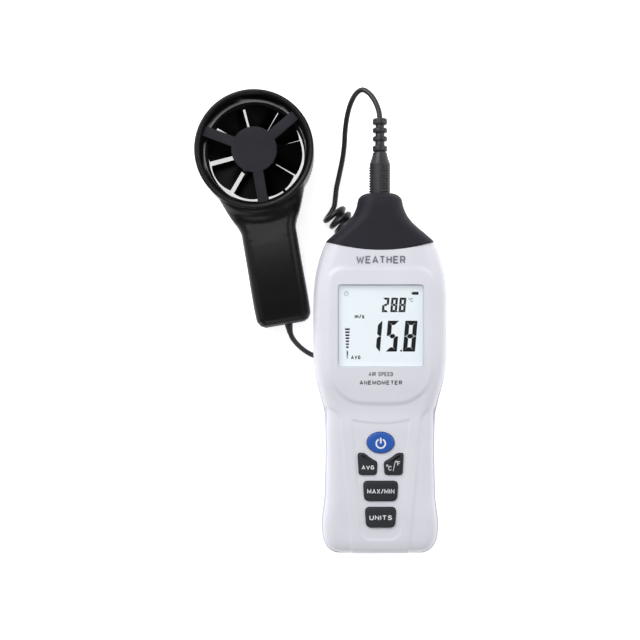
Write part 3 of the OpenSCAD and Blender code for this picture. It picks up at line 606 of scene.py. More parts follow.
# Silicone rubber of the keys: a soft sheen, no sharp highlights.
silicone_grey = surfaced("silicone_charcoal", ("#2B2D32", "#303237"), 0.5, 0.0003, 0.00001, surface=DULL)
silicone_blue = surfaced("silicone_blue", ("#2458AE", "#2A60BA"), 0.42, 0.0003, 0.00001)
# Plasticised PVC of the cord and plug: a waxy gloss with faint draw marks.
pvc_cord = surfaced("pvc_cord_black", ("#1B1B1E", "#232327"), 0.36, 0.0012, 0.00002)
pvc_plug = surfaced("pvc_plug_black", ("#1F1F23", "#27272C"), 0.42, 0.0006, 0.00002)
# Screen-printed inks.
ink_white = surfaced("ink_white", ("#E9EBEE", "#F2F3F5"), 0.5, 0.0004, 0.000004)
ink_grey = surfaced("ink_grey", ("#6E6E78", "#767680"), 0.5, 0.0004, 0.000004)
ink_black = surfaced("ink_black", ("#2B2B30", "#33333A"), 0.5, 0.0004, 0.000004)
# Dark dye of the liquid crystal's segments.
crystal_dark = surfaced("liquid_crystal_dark", ("#08090B", "#0C0E11"), 0.4, 0.001, 0.000002)
crystal_faint = surfaced("liquid_crystal_faint", ("#7E8688", "#8A9294"), 0.4, 0.001, 0.000002)
# Solder mask over glass epoxy.
board_green = surfaced("epoxy_board_green", ("#0E4A24", "#156032"), 0.35, 0.002, 0.00003)
epoxy_black = surfaced("epoxy_moulding_black", ("#0D0D0E", "#161618"), 0.55, 0.0004, 0.00002)
# Metals: nickel plate, zinc-plated steel, gold flash, and the springs' stainless.
METAL = {"Metallic": 1.0}
nickel = surfaced("nickel_plate", ("#C9C5BE", "#D3CFC8"), 0.22, 0.0008, 0.000004, surface=METAL)
zinc_steel = surfaced("zinc_plated_steel", ("#B9BCC0", "#C8CACD"), 0.32, 0.0006, 0.00001, surface=METAL)
gold_flash = surfaced("gold_flash", ("#E3BE6A", "#EBCB80"), 0.2, 0.0008, 0.000004, surface=METAL)
stainless = surfaced("stainless_spring", ("#B4B6B8", "#C4C6C8"), 0.28, 0.0005, 0.00001, surface=METAL)
# Odd inner materials.
foam_white = surfaced("foam_white", ("#D8DADC", "#E2E4E6"), 0.9, 0.0008, 0.0002)
diffuser_white = surfaced("diffuser_white", ("#EDEFF0", "#F5F6F6"), 0.5, 0.001, 0.000004)
silicone_pink = surfaced("silicone_zebra", ("#C98A86", "#3A3234"), 0.5, 0.0003, 0.00001, patch=0.0006)
pvc_red = surfaced("pvc_lead_red", ("#A3161A", "#B01B20"), 0.4, 0.0008, 0.00001)
can_lacquer = surfaced("battery_can_lacquer", ("#1C2A3C", "#24344A"), 0.3, 0.002, 0.000006)
ruby = surfaced("ruby_bearing", ("#8E0F2A", "#A51433"), 0.12, 0.001, 0.000001, surface={"IOR": 1.77})
epoxy_bead = surfaced("epoxy_bead", ("#5B3512", "#6E441A"), 0.25, 0.001, 0.00001)


def acrylic():
    """Clear acrylic: what its outer face doesn't mirror passes straight through, and its inner
    face mirrors nothing."""
    material, tree = start_material("acrylic_clear")
    clear = add(tree, "ShaderNodeBsdfTransparent", {"Color": linear("#FBFDFD")})
    place = add(tree, "ShaderNodeTexCoord").outputs["Object"]
    # Faint ripples about 17 mm apart, as a moulded window has
    ripple = add(tree, "ShaderNodeTexNoise", {"Scale": 60.0}, {"Vector": place})
    bump = add(
        tree, "ShaderNodeBump", {"Strength": 0.3, "Distance": 0.00002}, {"Height": ripple.outputs[0]}
    )
    gloss = add(
        tree,
        "ShaderNodeBsdfPrincipled",
        {"Base Color": linear("#FFFFFF"), "Metallic": 1.0, "Roughness": 0.06},
        {"Normal": bump.outputs[0]},
    )
    fresnel = add(tree, "ShaderNodeFresnel", {"IOR": 1.49})
    inside = add(tree, "ShaderNodeNewGeometry").outputs["Backfacing"]
    outside = add(tree, "ShaderNodeMath", {0: 1.0}, {1: inside}, operation="SUBTRACT")
    share = add(
        tree,
        "ShaderNodeMath",
        None,
        {0: fresnel.outputs[0], 1: outside.outputs[0]},
        operation="MULTIPLY",
    )
    mixed = add(
        tree, "ShaderNodeMixShader", None, {0: share.outputs[0], 1: clear.outputs[0], 2: gloss.outputs[0]}
    )
    add(tree, "ShaderNodeOutputMaterial", None, {"Surface": mixed.outputs[0]})
    return material


def crystal_panel():
    """The display's panel: a pale blue-white reflector under polarising film, with a faint painted glow
    against the shade of its recess.
    """
    material, tree = start_material("liquid_crystal_panel")
    place = add(tree, "ShaderNodeTexCoord").outputs["Object"]
    # Clouds about as wide as the panel
    cloud = add(tree, "ShaderNodeTexNoise", {"Scale": 25.0, "Detail": 1.0}, {"Vector": place})
    tone = add(tree, "ShaderNodeValToRGB", None, {0: cloud.outputs[0]})
    stops = tone.color_ramp.elements
    stops[0].color, stops[1].color = linear("#E4E7EB"), linear("#EAECF0")
    # Its emission is a painted glow, standing in for the light that the recess under the window shades off
    shader = add(
        tree,
        "ShaderNodeBsdfPrincipled",
        {"Roughness": 0.45, "Emission Color": linear("#E9E8EE"), "Emission Strength": 0.27},
        {"Base Color": tone.outputs[0]},
    )
    add(tree, "ShaderNodeOutputMaterial", None, {"Surface": shader.outputs[0]})
    return material


def table_top():
    """Opal light table: white acrylic, lit from below, so that shadows on it stay faint."""
    material, tree = start_material("acrylic_opal_lit")
    place = add(tree, "ShaderNodeTexCoord").outputs["Object"]
    # A matt grain of about a millimetre
    grain = add(tree, "ShaderNodeTexNoise", {"Scale": 900.0}, {"Vector": place})
    bump = add(
        tree, "ShaderNodeBump", {"Strength": 0.2, "Distance": 0.00002}, {"Height": grain.outputs[0]}
    )
    shader = add(
        tree,
        "ShaderNodeBsdfPrincipled",
        {
            "Base Color": linear("#F7F7F8"),
            "Roughness": 0.9,
            "Emission Color": linear("#FFFFFF"),
            "Emission Strength": 0.7,
        },
        {"Normal": bump.outputs[0]},
    )
    add(tree, "ShaderNodeOutputMaterial", None, {"Surface": shader.outputs[0]})
    return material


acrylic_clear = acrylic()
panel_pale = crystal_panel()

TABLE = 3.0  # half its width, in metres
TABLE_GAP = 0.0001
TABLE_CORNERS = ((-1, -1), (1, -1), (1, 1), (-1, 1))
table = solid(
    "table", [(x * TABLE, y * TABLE, -TABLE_GAP) for x, y in TABLE_CORNERS], [(0, 1, 2, 3)], closed=False
)
table.data.materials.append(table_top())

# ---------------------------------------------------------------- cord

# Routes of the lead from the plug, of the curl's middle line, and of the tail to the probe
LEAD_ROUTE = [
    (0, 242, 27), (-0.6, 246.5, 26.6), (-2.6, 252, 25.4), (-5.6, 256.6, 23.8), (-9.4, 259.2, 21.8),
    (-13, 257.6, 19.2), (-16, 252.6, 15.8), (-18, 245.6, 12), (-19, 238, 8.6), (-19.4, 230.5, 5.8),
    (-20.4, 222.8, 3.6), (-22.2, 214, 2.2), (-23.9, 206, 1.7), (-24.5, 200.4, 1.6), (-25.2, 195.6, 1.6),
    (-27, 192, 1.6),
]
CURL_ROUTE = [(-27, 192, 7.6), (-14, 179.6, 7.6), (-0.4, 166.6, 7.6), (12.4, 152.2, 7.6), (22, 136.4, 7.6)]
TAIL_ROUTE = [
    (20.6, 135.6, 1.5), (15, 132.4, 1.5), (8, 128.4, 1.5), (-2, 122.4, 1.5), (-12, 116.4, 1.5),
    (-21, 111.4, 1.5), (-29, 108.4, 1.7), (-36.6, 109.2, 2.6), (-42, 112, 4.8), (-46.4, 115.9, 7.6),
    (-49.2, 119.6, 9.9), (-50.4, 122.6, 11),
]
CORD_R = 1.5
CURL_R = 6.0
CURL_TURNS = 20
CURL_LOOSE = 3.0  # extra length that the first turns are pulled apart by
LOOSE_TURNS = 1.5  # how fast that fades along the curl
TURN_POINTS = 24
ROUTE_POINTS = 3  # from each of a route's points to the next
UP = Vector((0, 0, 1))


def route_points(route):
    """Points along the smooth curve through a route's points."""
    last = len(route) - 1
    return [on_route(route, u) for u in steps(0, last, ROUTE_POINTS * last)]


def curl_points():
    """The curl's turns, from under it up its left flank and over the top, close-wound but for the
    first few, which the lead pulls apart."""
    line = [on_route(CURL_ROUTE, u) for u in steps(0, len(CURL_ROUTE) - 1, 200)]
    reach = [0.0]
    for a, b in zip(line, line[1:]):
        reach.append(reach[-1] + (b - a).length)
    pitch = (reach[-1] - CURL_LOOSE) / CURL_TURNS
    points = []
    k = 0
    for i in range(CURL_TURNS * TURN_POINTS + 1):
        turn = i / TURN_POINTS
        s = min(reach[-1], pitch * turn + CURL_LOOSE * (1 - math.exp(-turn / LOOSE_TURNS)))
        while k < len(line) - 2 and reach[k + 1] < s:
            k += 1
        share = (s - reach[k]) / (reach[k + 1] - reach[k])
        middle = line[k].lerp(line[k + 1], share)
        along = (line[k + 1] - line[k]).normalized()
        side = along.cross(-UP).normalized()
        a = math.pi * (1.5 - 2 * turn)
        points.append(middle + CURL_R * (side * math.cos(a) + UP * math.sin(a)))
    return points


def cord_curve():
    """The whole cord as one curve, from the probe to the plug."""
    points = route_points(LEAD_ROUTE) + curl_points()[1:-1] + route_points(TAIL_ROUTE)
    points = [METER @ p for p in reversed(points)]
    data = bpy.data.curves.new("cord", "CURVE")
    data.dimensions = "3D"
    data.bevel_depth = CORD_R * MM
    data.bevel_resolution = 4
    data.use_fill_caps = True
    spline = data.splines.new("POLY")
    spline.points.add(len(points) - 1)
    for point, place in zip(spline.points, points):
        point.co = (*place, 1)
    data.materials.append(pvc_cord)
    made = bpy.data.objects.new("cord", data)
    bpy.context.scene.collection.objects.link(made)
    length = sum((b - a).length for a, b in zip(points, points[1:]))
    return made, points[0], length


cord, cord_exit, cord_length = cord_curve()
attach(cord, "probe")
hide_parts("cord_lead", "cord_curl", "cord_tail")

# ---------------------------------------------------------------- plug

GRIP_Y0, GRIP_Y1, TAPER_Y1, BOOT_Y1 = 196.3, 216.4, 223.0, 242.0
GRIP_R, BOOT_R, BOOT_CORE_R = 6.1, 4.05, 2.7
PAD_SIDES = 3
PAD_TURN = math.radians(300)
RIB_PITCH = 1.45
RIB_DEPTH = 0.6
GRIP_RIM = 0.35  # what the grip loses at its end, and between its pads
GRIP_SHOULDER = 0.25
BOOT_RINGS = ((223.6, 3.2), (229.4, 2.6), (234.1, 2.6), (238.6, 3.4))  # start and length
BOOT_SLIT = 1.0


def turned(name, heights, radius, count):
    """Solid about z whose radius at each height and angle the function gives."""
    rings = []
    for z in heights:
        ring = []
        for a in steps(0, 2 * math.pi, count)[:-1]:
            r = radius(z, a)
            ring.append((r * math.cos(a), r * math.sin(a), z))
        rings.append(ring)
    return skin(name, rings)


def grip_radius(z, a):
    """Radius of the plug's grip: round, with ribbed finger pads, then a taper from a shoulder."""
    if z > GRIP_Y1:
        share = (z - GRIP_Y1) / (TAPER_Y1 - GRIP_Y1)
        drop = 1.25 * share - 0.25 * share**3
        return GRIP_R - GRIP_SHOULDER + (BOOT_R - GRIP_R + 0.1) * drop
    pad = smoothstep(0.35, 0.6, math.cos(PAD_SIDES * (a - PAD_TURN)))
    pad *= smoothstep(GRIP_Y0 + 0.6, GRIP_Y0 + 1.2, z) * smoothstep(GRIP_Y1 - 0.8, GRIP_Y1 - 1.4, z)
    rib = smoothstep(0.35, 0.65, abs((z - GRIP_Y0) / RIB_PITCH % 1 - 0.5) * 2)
    edge = GRIP_RIM * (1 - smoothstep(GRIP_Y0, GRIP_Y0 + 0.6, z))
    return GRIP_R - edge - pad * RIB_DEPTH * rib - GRIP_RIM * (1 - pad)


grip_heights = steps(GRIP_Y0, GRIP_Y1, 134) + [GRIP_Y1 + 0.05] + steps(GRIP_Y1, TAPER_Y1, 20)[1:]
plug_grip = turned("grip", grip_heights, grip_radius, 144)
settle(plug_grip, PLUG, "probe", pvc_plug, ["plug_grip"], sharp=50)


def boot_radius(z, a):
    """Radius of the strain relief: rounded collars, each slit on two sides, round a soft core."""
    for i, (start, length) in enumerate(BOOT_RINGS):
        if start <= z <= start + length:
            t = abs((z - start) / length - 0.5) * 2
            collar = BOOT_R - 0.5 * (1 - math.sqrt(max(0, 1 - t**4)))
            slit = smoothstep(0.90, 0.96, abs(math.sin(a + (0.25 if i % 2 else -0.25))))
            return collar - BOOT_SLIT * slit
    return BOOT_CORE_R - 0.35 * smoothstep(TAPER_Y1, BOOT_Y1, z)


boot_heights = [TAPER_Y1 - 0.3, TAPER_Y1]
for start, length in BOOT_RINGS:
    boot_heights += [start - 0.02] + steps(start, start + length, 12) + [start + length + 0.02]
plug_boot = turned("strain_relief", boot_heights, boot_radius, 96)
settle(plug_boot, PLUG, "probe", pvc_plug, ["plug_boot"], sharp=50)

GLAND_X, GLAND_Y, GLAND_Z = 2.0, -96.0, 11.0
GLAND_R, GLAND_TAPER = 2.3, 0.6
gland = spindle(
    "cord_gland",
    [(3.2, 0), (3.4, 0.2), (3.4, 1.2), (3.2, 1.4), (GLAND_R, 1.45), (GLAND_R, 3.2)]
    + [(GLAND_R - GLAND_TAPER * smoothstep(3.2, 8.3, z), z) for z in steps(3.4, 8.3, 14)]
    + [(CORD_R + 0.05, 8.5)],
    64,
)
GLAND = (
    PROBE
    @ Matrix.Translation((GLAND_X, GLAND_Y, GLAND_Z))
    @ Matrix.Rotation(math.pi / 2, 4, "X")
)
settle(gland, GLAND, "probe", pvc_plug, ["cord_gland"])

# ---------------------------------------------------------------- shape of the meter's case

# Distance from the foot, half width, height of the front, height of the back
CASE_CURVE = [
    (0, 24, 29.5, 8), (1.5, 27.6, 32.3, 4.4), (4, 30, 34.1, 1.6), (8, 31.8, 35, 0.3),
    (11, 32.3, 35.2, 0), (17, 32.5, 35.3, 0), (32, 30.9, 35.5, 0), (60, 30.4, 35.5, 0),
    (76, 30.8, 35.9, 0), (86, 32.9, 36.7, 0), (98, 35.9, 37.7, 0), (110, 37.05, 38, 9.24),
    (120, 37.25, 38, 16.5), (127, 37.3, 38, 16.5), (142, 37.1, 38, 16.5), (153, 36.2, 37.9, 16.5),
    (163, 34, 37.7, 16.5), (173, 30.2, 37.5, 16.5), (177, 26.2, 37.4, 16.6), (181, 21.4, 37.3, 16.7),
    (184.5, 17.7, 37.3, 16.7), (188, 15.1, 37.2, 16.8), (193, 13, 37.2, 16.9),
    (197, 12.1, 36.7, 17.3), (199, 10.4, 35.2, 18.8), (200, 8.4, 34.1, 19.9),
]
SPLIT = 27.0
SEAM = 0.2
WALL = 2.2
FRONT_WALL = 2.5  # thicker, so that the sunk panels don't thin it
FRONT_CORNER, REAR_CORNER = 9.5, 14.0
PAST = 1.0  # how far a cut runs past the face it opens
ARC_R, ARC_Y = 97.5, 265.9
WINDOW_Y = 126.6
WINDOW_W, WINDOW_L, WINDOW_CORNER = 47.2, 45.4, 2.0
WINDOW_Z = (36.5, 37.75)
ABOVE = 39.0  # over the highest point of the front
KEY_GAP = 0.3


def rounded_distance(u, v, r):
    """Signed distance to a corner of radius r, from the distances past its two edges."""
    return math.hypot(max(u + r, 0), max(v + r, 0)) + min(max(u + r, v + r), 0) - r


SHIELD_HALF, SHIELD_Y0, SHIELD_Y1 = 27.8, 87.6, 157.0
SHIELD_BOW = 2.6
SHIELD_STEP, GRIP_STEP, KEYPAD_STEP = 0.85, 0.7, 0.4
SHIELD_EDGE, GRIP_EDGE, KEYPAD_EDGE = 2.8, 1.7, 0.9  # widths of the slopes between the levels
# Distance from the foot, and half width of the strip that a panel's edge runs beside
GRIP_LINE = [(-3, 14.8), (0, 15), (22, 16.7), (40, 18.6), (62, 20.2), (73, 21), (84, 21.4)]
KEYPAD_LINE = [(0, 10.6), (16, 11.8), (39, 13.5), (75.5, 16.5), (80, 16.9)]
GRIP_END = 82.0
KEYPAD_Y0, KEYPAD_Y1, KEYPAD_BOW = 8.3, 75.5, 2.1


def bow(x, half):
    """1 on the middle line, falling along a parabola to 0 at half."""
    return 1 - min(1, abs(x) / half) ** 2


def beside(line, y):
    """Half width on a panel's line, which runs on level past its ends."""
    return curve(line, min(max(y, line[0][0]), line[-1][0]), 1)


def shield_distance(x, y):
    """How far a point lies outside the raised shield round the display."""
    side = abs(x) - SHIELD_HALF
    if y > WINDOW_Y:
        return rounded_distance(side, y - SHIELD_Y1, 7)
    return rounded_distance(side, SHIELD_Y0 - SHIELD_BOW * bow(x, 27.5) - y, 17)


def grip_distance(x, y):
    """How far a point lies outside the sunk panels at the sides of the grip."""
    return rounded_distance(beside(GRIP_LINE, y) - abs(x), y - GRIP_END, 9)


def keypad_distance(x, y):
    """How far a point lies outside the sunk panel round the keys."""
    side = abs(x) - beside(KEYPAD_LINE, y)
    if y > 40:
        return rounded_distance(side, y - KEYPAD_Y1 + KEYPAD_BOW * bow(x, 16.5), 1.2)
    return rounded_distance(side, KEYPAD_Y0 - y, 6)


def relief(x, y):
    """How far the moulded front lies below the case's plain curve."""
    shield = SHIELD_STEP * smoothstep(0, SHIELD_EDGE, shield_distance(x, y))
    over_display = smoothstep(153, 160, y) * (1 - smoothstep(16, 27, abs(x)))
    shield *= smoothstep(68, 84, y) * (1 - 0.75 * over_display)
    grip = GRIP_STEP * (1 - smoothstep(-GRIP_EDGE, 0, grip_distance(x, y)))
    keypad = KEYPAD_STEP * (1 - smoothstep(-KEYPAD_EDGE, 0, keypad_distance(x, y)))
    return shield + grip + keypad


def half_section(w, z0, z1, r, flat, arc):
    """Half of a rounded section and its normals: up from its edge at z0, over the crown at z1 and
    down again. flat and arc are the counts of steps along the crown and round each corner."""
    d = 1 if z1 > z0 else -1
    c = max(0.3, min(r, abs(z1 - z0) - 0.1, w - 0.4))
    right = [(w, z0, 0.0, 0.0)]
    for a in steps(0, math.pi / 2, arc):
        cos, sin = math.cos(a), math.sin(a)
        right.append((w - c + c * cos, z1 - d * c * (1 - sin), cos, d * sin))
    middle = [(x, z1, 0.0, d) for x in steps(w - c, c - w, flat)[1:-1]]
    return right + middle + [(-x, z, -nx, nz) for x, z, nx, nz in reversed(right)]


def case_half(name, rows, upper, inset, z0, lowered=None, flat=96, arc=16):
    """Upper or lower half of the case's shape, drawn in by inset, with its flat edge at z0.

    lowered gives how far the surface sinks at a place; at the foot it sinks straight back as well.
    """
    rings = []
    for y in rows:
        z1 = curve(CASE_CURVE, y, 2) - inset if upper else curve(CASE_CURVE, y, 3) + inset
        corner = (FRONT_CORNER if upper else REAR_CORNER) - inset
        ring = []
        for x, z, nx, nz in half_section(curve(CASE_CURVE, y, 1) - inset, z0, z1, corner, flat, arc):
            drop = lowered(x, y) if lowered else 0
            foot = drop * (1 - smoothstep(0, 7, y))
            ring.append((x - drop * nx, y + foot, z - drop * nz))
        rings.append(ring)
    return skin(name, rings)


def arc_block(r):
    """Everything on the neck's side of the arc where white meets black."""
    return prism("arc", circle(r, 720, 0, ARC_Y), -1, 50)


def pin(x, y, z0, z1, r, count=48):
    """Upright cylinder."""
    return prism("pin", circle(r, count, x, y), z0, z1)


def box_block(x0, x1, y0, y1, z0, z1):
    """Straight block between these limits."""
    return prism("block", [(x0, y0), (x1, y0), (x1, y1), (x0, y1)], z0, z1)


FOOT_SCREW_Y, HEAD_SCREW_Y = 13, 160
CASE_SCREWS = [(-19, FOOT_SCREW_Y), (19, FOOT_SCREW_Y), (-26, HEAD_SCREW_Y), (26, HEAD_SCREW_Y)]
BOARD_SCREWS = [(-22.5, 24), (22.5, 24), (-22.5, 88), (22.5, 88)]
BOSS_R, BOSS_BORE_R = 3.2, 1.25
BOARD_BOSS_R, BOARD_BORE_R, BOARD_BOSS_Z = 2.8, 0.9, 26.0
# Rows across the case, close together where the foot turns
OUTER_ROWS = [0, 0.2, 0.5, 0.9, 1.3] + steps(1.8, 177, 290)
INNER_ROWS = steps(WALL, 181, 90)

# Keys: place, corners of the outline, and how far before each corner its rounding starts
KEYS = {
    "power": ((0, 62.3), None, 0),
    "average": (
        (-7.1, 50.5), [(-4.7, -5.9), (4.6, -5.9), (5.2, 1), (1.2, 3.2), (-2, 5.9), (-5.4, 5.9)], 1.65,
    ),
    "temperature": (
        (7.1, 50.5), [(-4.6, -5.9), (4.7, -5.9), (5.4, 5.9), (2, 5.9), (-1.2, 3.2), (-5.2, 1)], 1.65,
    ),
    "max_min": ((0, 35.6), [(-8.8, -5.4), (8.8, -5.4), (9.5, 5.4), (-9.5, 5.4)], 3),
    "units": ((0, 21.1), [(-7.7, -5.5), (7.7, -5.5), (8.5, 5.5), (-8.5, 5.5)], 3),
}
POWER_SIZE = (15.0, 11.5)  # an oval


def key_outline(key, d):
    """Outline of a key grown by d, in the meter's frame."""
    (x, y), corners, r = KEYS[key]
    if corners is None:
        return [
            (x + (POWER_SIZE[0] / 2 + d) * math.cos(a), y + (POWER_SIZE[1] / 2 + d) * math.sin(a))
            for a in steps(0, 2 * math.pi, 72)[:-1]
        ]
    corners = [Vector(c) for c in corners]
    n = len(corners)
    grown = []
    for i, b in enumerate(corners):
        u = (b - corners[i - 1]).normalized()
        v = (corners[(i + 1) % n] - b).normalized()
        nu, nv = Vector((u.y, -u.x)), Vector((v.y, -v.x))
        grown.append(b + d * (nu + nv) / (1 + nu.dot(nv)))
    outline = []
    for i, b in enumerate(grown):
        u = (grown[i - 1] - b).normalized()
        v = (grown[(i + 1) % n] - b).normalized()
        for t in steps(0, 1, 8):
            p = b + r * ((1 - t) ** 2 * u + t**2 * v)
            outline.append((x + p.x, y + p.y))
    return outline


# ---------------------------------------------------------------- front shell and window

front = case_half("front", OUTER_ROWS, True, 0, SPLIT, relief)
hollow = case_half("hollow", INNER_ROWS, True, FRONT_WALL, SPLIT - PAST, flat=24, arc=8)
combine(front, "DIFFERENCE", hollow)
combine(
    front,
    "UNION",
    *[pin(x, y, SPLIT, curve(CASE_CURVE, y, 2) - WALL, BOSS_R) for x, y in CASE_SCREWS],
    *[pin(x, y, BOARD_BOSS_Z, curve(CASE_CURVE, y, 2) - WALL, BOARD_BOSS_R) for x, y in BOARD_SCREWS],
)
combine(
    front,
    "DIFFERENCE",
    arc_block(ARC_R + SEAM / 2),
    *[pin(x, y, SPLIT - PAST, SPLIT + 6, BOSS_BORE_R) for x, y in CASE_SCREWS],
    *[pin(x, y, BOARD_BOSS_Z - PAST, BOARD_BOSS_Z + 5, BOARD_BORE_R) for x, y in BOARD_SCREWS],
    prism("opening", rectangle(WINDOW_W - 0.6, WINDOW_L - 0.6, 1.6, 0, WINDOW_Y), SPLIT, ABOVE),
    prism("seat", rectangle(WINDOW_W + 0.2, WINDOW_L + 0.2, 2.1, 0, WINDOW_Y), WINDOW_Z[0], ABOVE),
    *[prism("opening", key_outline(key, KEY_GAP), SPLIT, ABOVE) for key in KEYS],
)
settle(front, METER, "meter", abs_white, ["front_shell"])

window = prism("window", rectangle(WINDOW_W, WINDOW_L, WINDOW_CORNER, 0, WINDOW_Y), *WINDOW_Z)
soften(window, 0.25, segments=2)
settle(window, METER, "meter", acrylic_clear, ["display_window"], sharp=15)

# ---------------------------------------------------------------- rear shell

BAY_Y0, BAY_Y1, BAY_W, BAY_WALL, BAY_ROOF = 24.0, 84.0, 31.0, 1.4, 22.6
DOOR_Y0, DOOR_Y1, DOOR_W = BAY_Y0 + SEAM, BAY_Y1 - SEAM, BAY_W - 2 * SEAM
DOOR_T = 2.6
HINGE_R, HINGE_PIN_R, HINGE_PIN_L, HINGE_PLAY = DOOR_T / 2, 0.8, 2.0, 0.05
HINGE = Matrix.Translation((0, DOOR_Y0 + HINGE_R, HINGE_R)) @ Matrix.Rotation(math.pi / 2, 4, "Y")
REAR_BOSS_R, SCREW_WELL_R, SCREW_BORE_R = 3.8, 2.8, 1.45
# Where each boss starts and each screw's well ends: higher under the head, whose back steps up
BOSS_Z = {FOOT_SCREW_Y: 1.5, HEAD_SCREW_Y: 18}
WELL_Z = {FOOT_SCREW_Y: 12, HEAD_SCREW_Y: 20}
rear = case_half("rear", OUTER_ROWS, False, 0, SPLIT - SEAM, flat=60, arc=18)
hollow = case_half("hollow", INNER_ROWS, False, WALL, SPLIT + PAST, flat=24, arc=8)
combine(rear, "DIFFERENCE", hollow)
bay_x, bay_y = BAY_W / 2 + BAY_WALL, BAY_Y0 - BAY_WALL
cheek_x = BAY_W / 2 + HINGE_PIN_L + 1.2
combine(
    rear,
    "UNION",
    box_block(-bay_x, bay_x, bay_y, BAY_Y1 + BAY_WALL, 1, BAY_ROOF + BAY_WALL),
    box_block(-cheek_x, cheek_x, bay_y, BAY_Y0 + 3.6, 1, 3.8),
    *[pin(x, y, BOSS_Z[y], SPLIT - SEAM, REAR_BOSS_R) for x, y in CASE_SCREWS],
)
lead_slot = box_block(BAY_W / 2 - 4, BAY_W / 2 - 1, BAY_Y1 - 0.1, BAY_Y1 + BAY_WALL + 0.1, 12, 16)
combine(
    rear,
    "DIFFERENCE",
    arc_block(ARC_R + SEAM / 2),
    box_block(-BAY_W / 2, BAY_W / 2, BAY_Y0, BAY_Y1, -PAST, BAY_ROOF),
    lead_slot,
    *[pin(x, y, -PAST, WELL_Z[y], SCREW_WELL_R) for x, y in CASE_SCREWS],
    *[pin(x, y, 5, SPLIT + PAST, SCREW_BORE_R) for x, y in CASE_SCREWS],
)
bore_x = BAY_W / 2 + HINGE_PIN_L + 0.2
hinge_bore = pin(0, 0, -bore_x, bore_x, HINGE_PIN_R + HINGE_PLAY)
hinge_bore.data.transform(HINGE)
combine(rear, "DIFFERENCE", hinge_bore)
settle(rear, METER, "meter", abs_white, ["rear_shell"])

# ---------------------------------------------------------------- neck cap

# It starts under the shells, steps in behind the jack socket, and ends at the plug
NECK_Y0, NECK_STEP, NECK_Y1 = 162, 177, 200
NECK_HOLLOW_ROWS = steps(NECK_Y0, NECK_STEP, 8)
BARREL_R, NOSE_R, NOSE_Y = 8.7, 6.5, 180
NECK_ROWS = steps(NECK_Y0, NECK_STEP, 20) + steps(177.5, 199, 52) + [199.3, 199.6, 199.85, NECK_Y1]
neck = case_half("neck", NECK_ROWS, True, 0, SPLIT - 0.01, flat=48, arc=18)
combine(neck, "UNION", case_half("lower", NECK_ROWS, False, 0, SPLIT, flat=48, arc=18))
combine(
    neck,
    "DIFFERENCE",
    case_half("hollow", NECK_HOLLOW_ROWS, True, WALL, SPLIT - PAST, flat=24, arc=8),
    case_half("hollow", NECK_HOLLOW_ROWS, False, WALL, SPLIT + PAST, flat=24, arc=8),
)
combine(neck, "INTERSECT", arc_block(ARC_R - SEAM / 2))
combine(neck, "UNION", box_block(-20, 20, NECK_Y0 - PAST, 179, 19.2, 33.1))
bore = spindle(
    "bore",
    [(BARREL_R, NECK_STEP), (BARREL_R, NOSE_Y), (NOSE_R, NOSE_Y), (NOSE_R, 198.9), (NOSE_R + 0.4, 200.2)],
    96,
)
bore.data.transform(Matrix.Translation((0, 0, SPLIT)) @ Matrix.Rotation(-math.pi / 2, 4, "X"))
combine(neck, "DIFFERENCE", box_block(-18, 18, 159, NECK_STEP + 0.6, 20.8, 32.0), bore)
settle(neck, METER, "meter", abs_black_matt, ["neck_cap"])

# ---------------------------------------------------------------- battery door

# The door's section: a half round about the hinge, then straight to the latch
door_section = [
    (DOOR_Y0 + HINGE_R * (1 - math.sin(a)), HINGE_R * (1 - math.cos(a))) for a in steps(0, math.pi, 12)
]
door_section += [(DOOR_Y1, DOOR_T), (DOOR_Y1, 0)]
door = skin("door", [[(x, y, z) for y, z in door_section] for x in (-DOOR_W / 2, DOOR_W / 2)])
ridge = prism("ridge", rectangle(16, 1.1, 0.5), -0.1, 0.5)
grooves = repeat("grooves", ridge, 5, abs_white, shift=(0, -2.2, 0))
grooves.data.transform(Matrix.Translation((0, DOOR_Y1 - 8.5, 0)))
thumb_rest = pin(0, DOOR_Y1 + 2.4, -PAST, 0.9, 7, 96)
combine(door, "DIFFERENCE", thumb_rest, grooves)
hinge_pin = pin(0, 0, -DOOR_W / 2 - HINGE_PIN_L, DOOR_W / 2 + HINGE_PIN_L, HINGE_PIN_R)
hinge_pin.data.transform(HINGE)
combine(door, "UNION", hinge_pin)
settle(door, METER, "battery_door", abs_white, ["battery_door"])

# ---------------------------------------------------------------- keys and their legends

KEY_TOP = 36.5
FLANGE, FLANGE_Z = 1.0, (31.2, 32.4)
STEM_R, STEM_Z = 2.0, 28.0
# How far the outline grows at each height of a key's shoulder
KEY_EDGE = [(0, 35.75), (-0.06, 36.03), (-0.2, 36.25), (-0.42, 36.4), (-0.7, 36.47), (-1.05, KEY_TOP)]
KEY_FINISH = {"power": (silicone_blue, "key_blue")}  # the others are grey


def key_cap(key):
    """A rubber key: flange, straight side, rounded shoulder and flat crown, on its stem."""
    levels = [(FLANGE, FLANGE_Z[0]), (FLANGE, FLANGE_Z[1]), (0, FLANGE_Z[1])] + KEY_EDGE
    cap = skin(key, [[(x, y, z) for x, y in key_outline(key, d)] for d, z in levels])
    x, y = KEYS[key][0]
    combine(cap, "UNION", pin(x, y, STEM_Z, FLANGE_Z[0] + 0.2, STEM_R))
    material, slot = KEY_FINISH.get(key, (silicone_grey, "key_rubber"))
    settle(cap, METER, key + "_key", material, [key + "_key"], sharp=40)


for key in KEYS:
    key_cap(key)


PRINT_Z = KEY_TOP - 0.01


def legend(key, *pieces):
    """A key's printed sign, which moves with it."""
    settle(merge(key + "_legend", pieces), METER, key + "_key", ink_white)


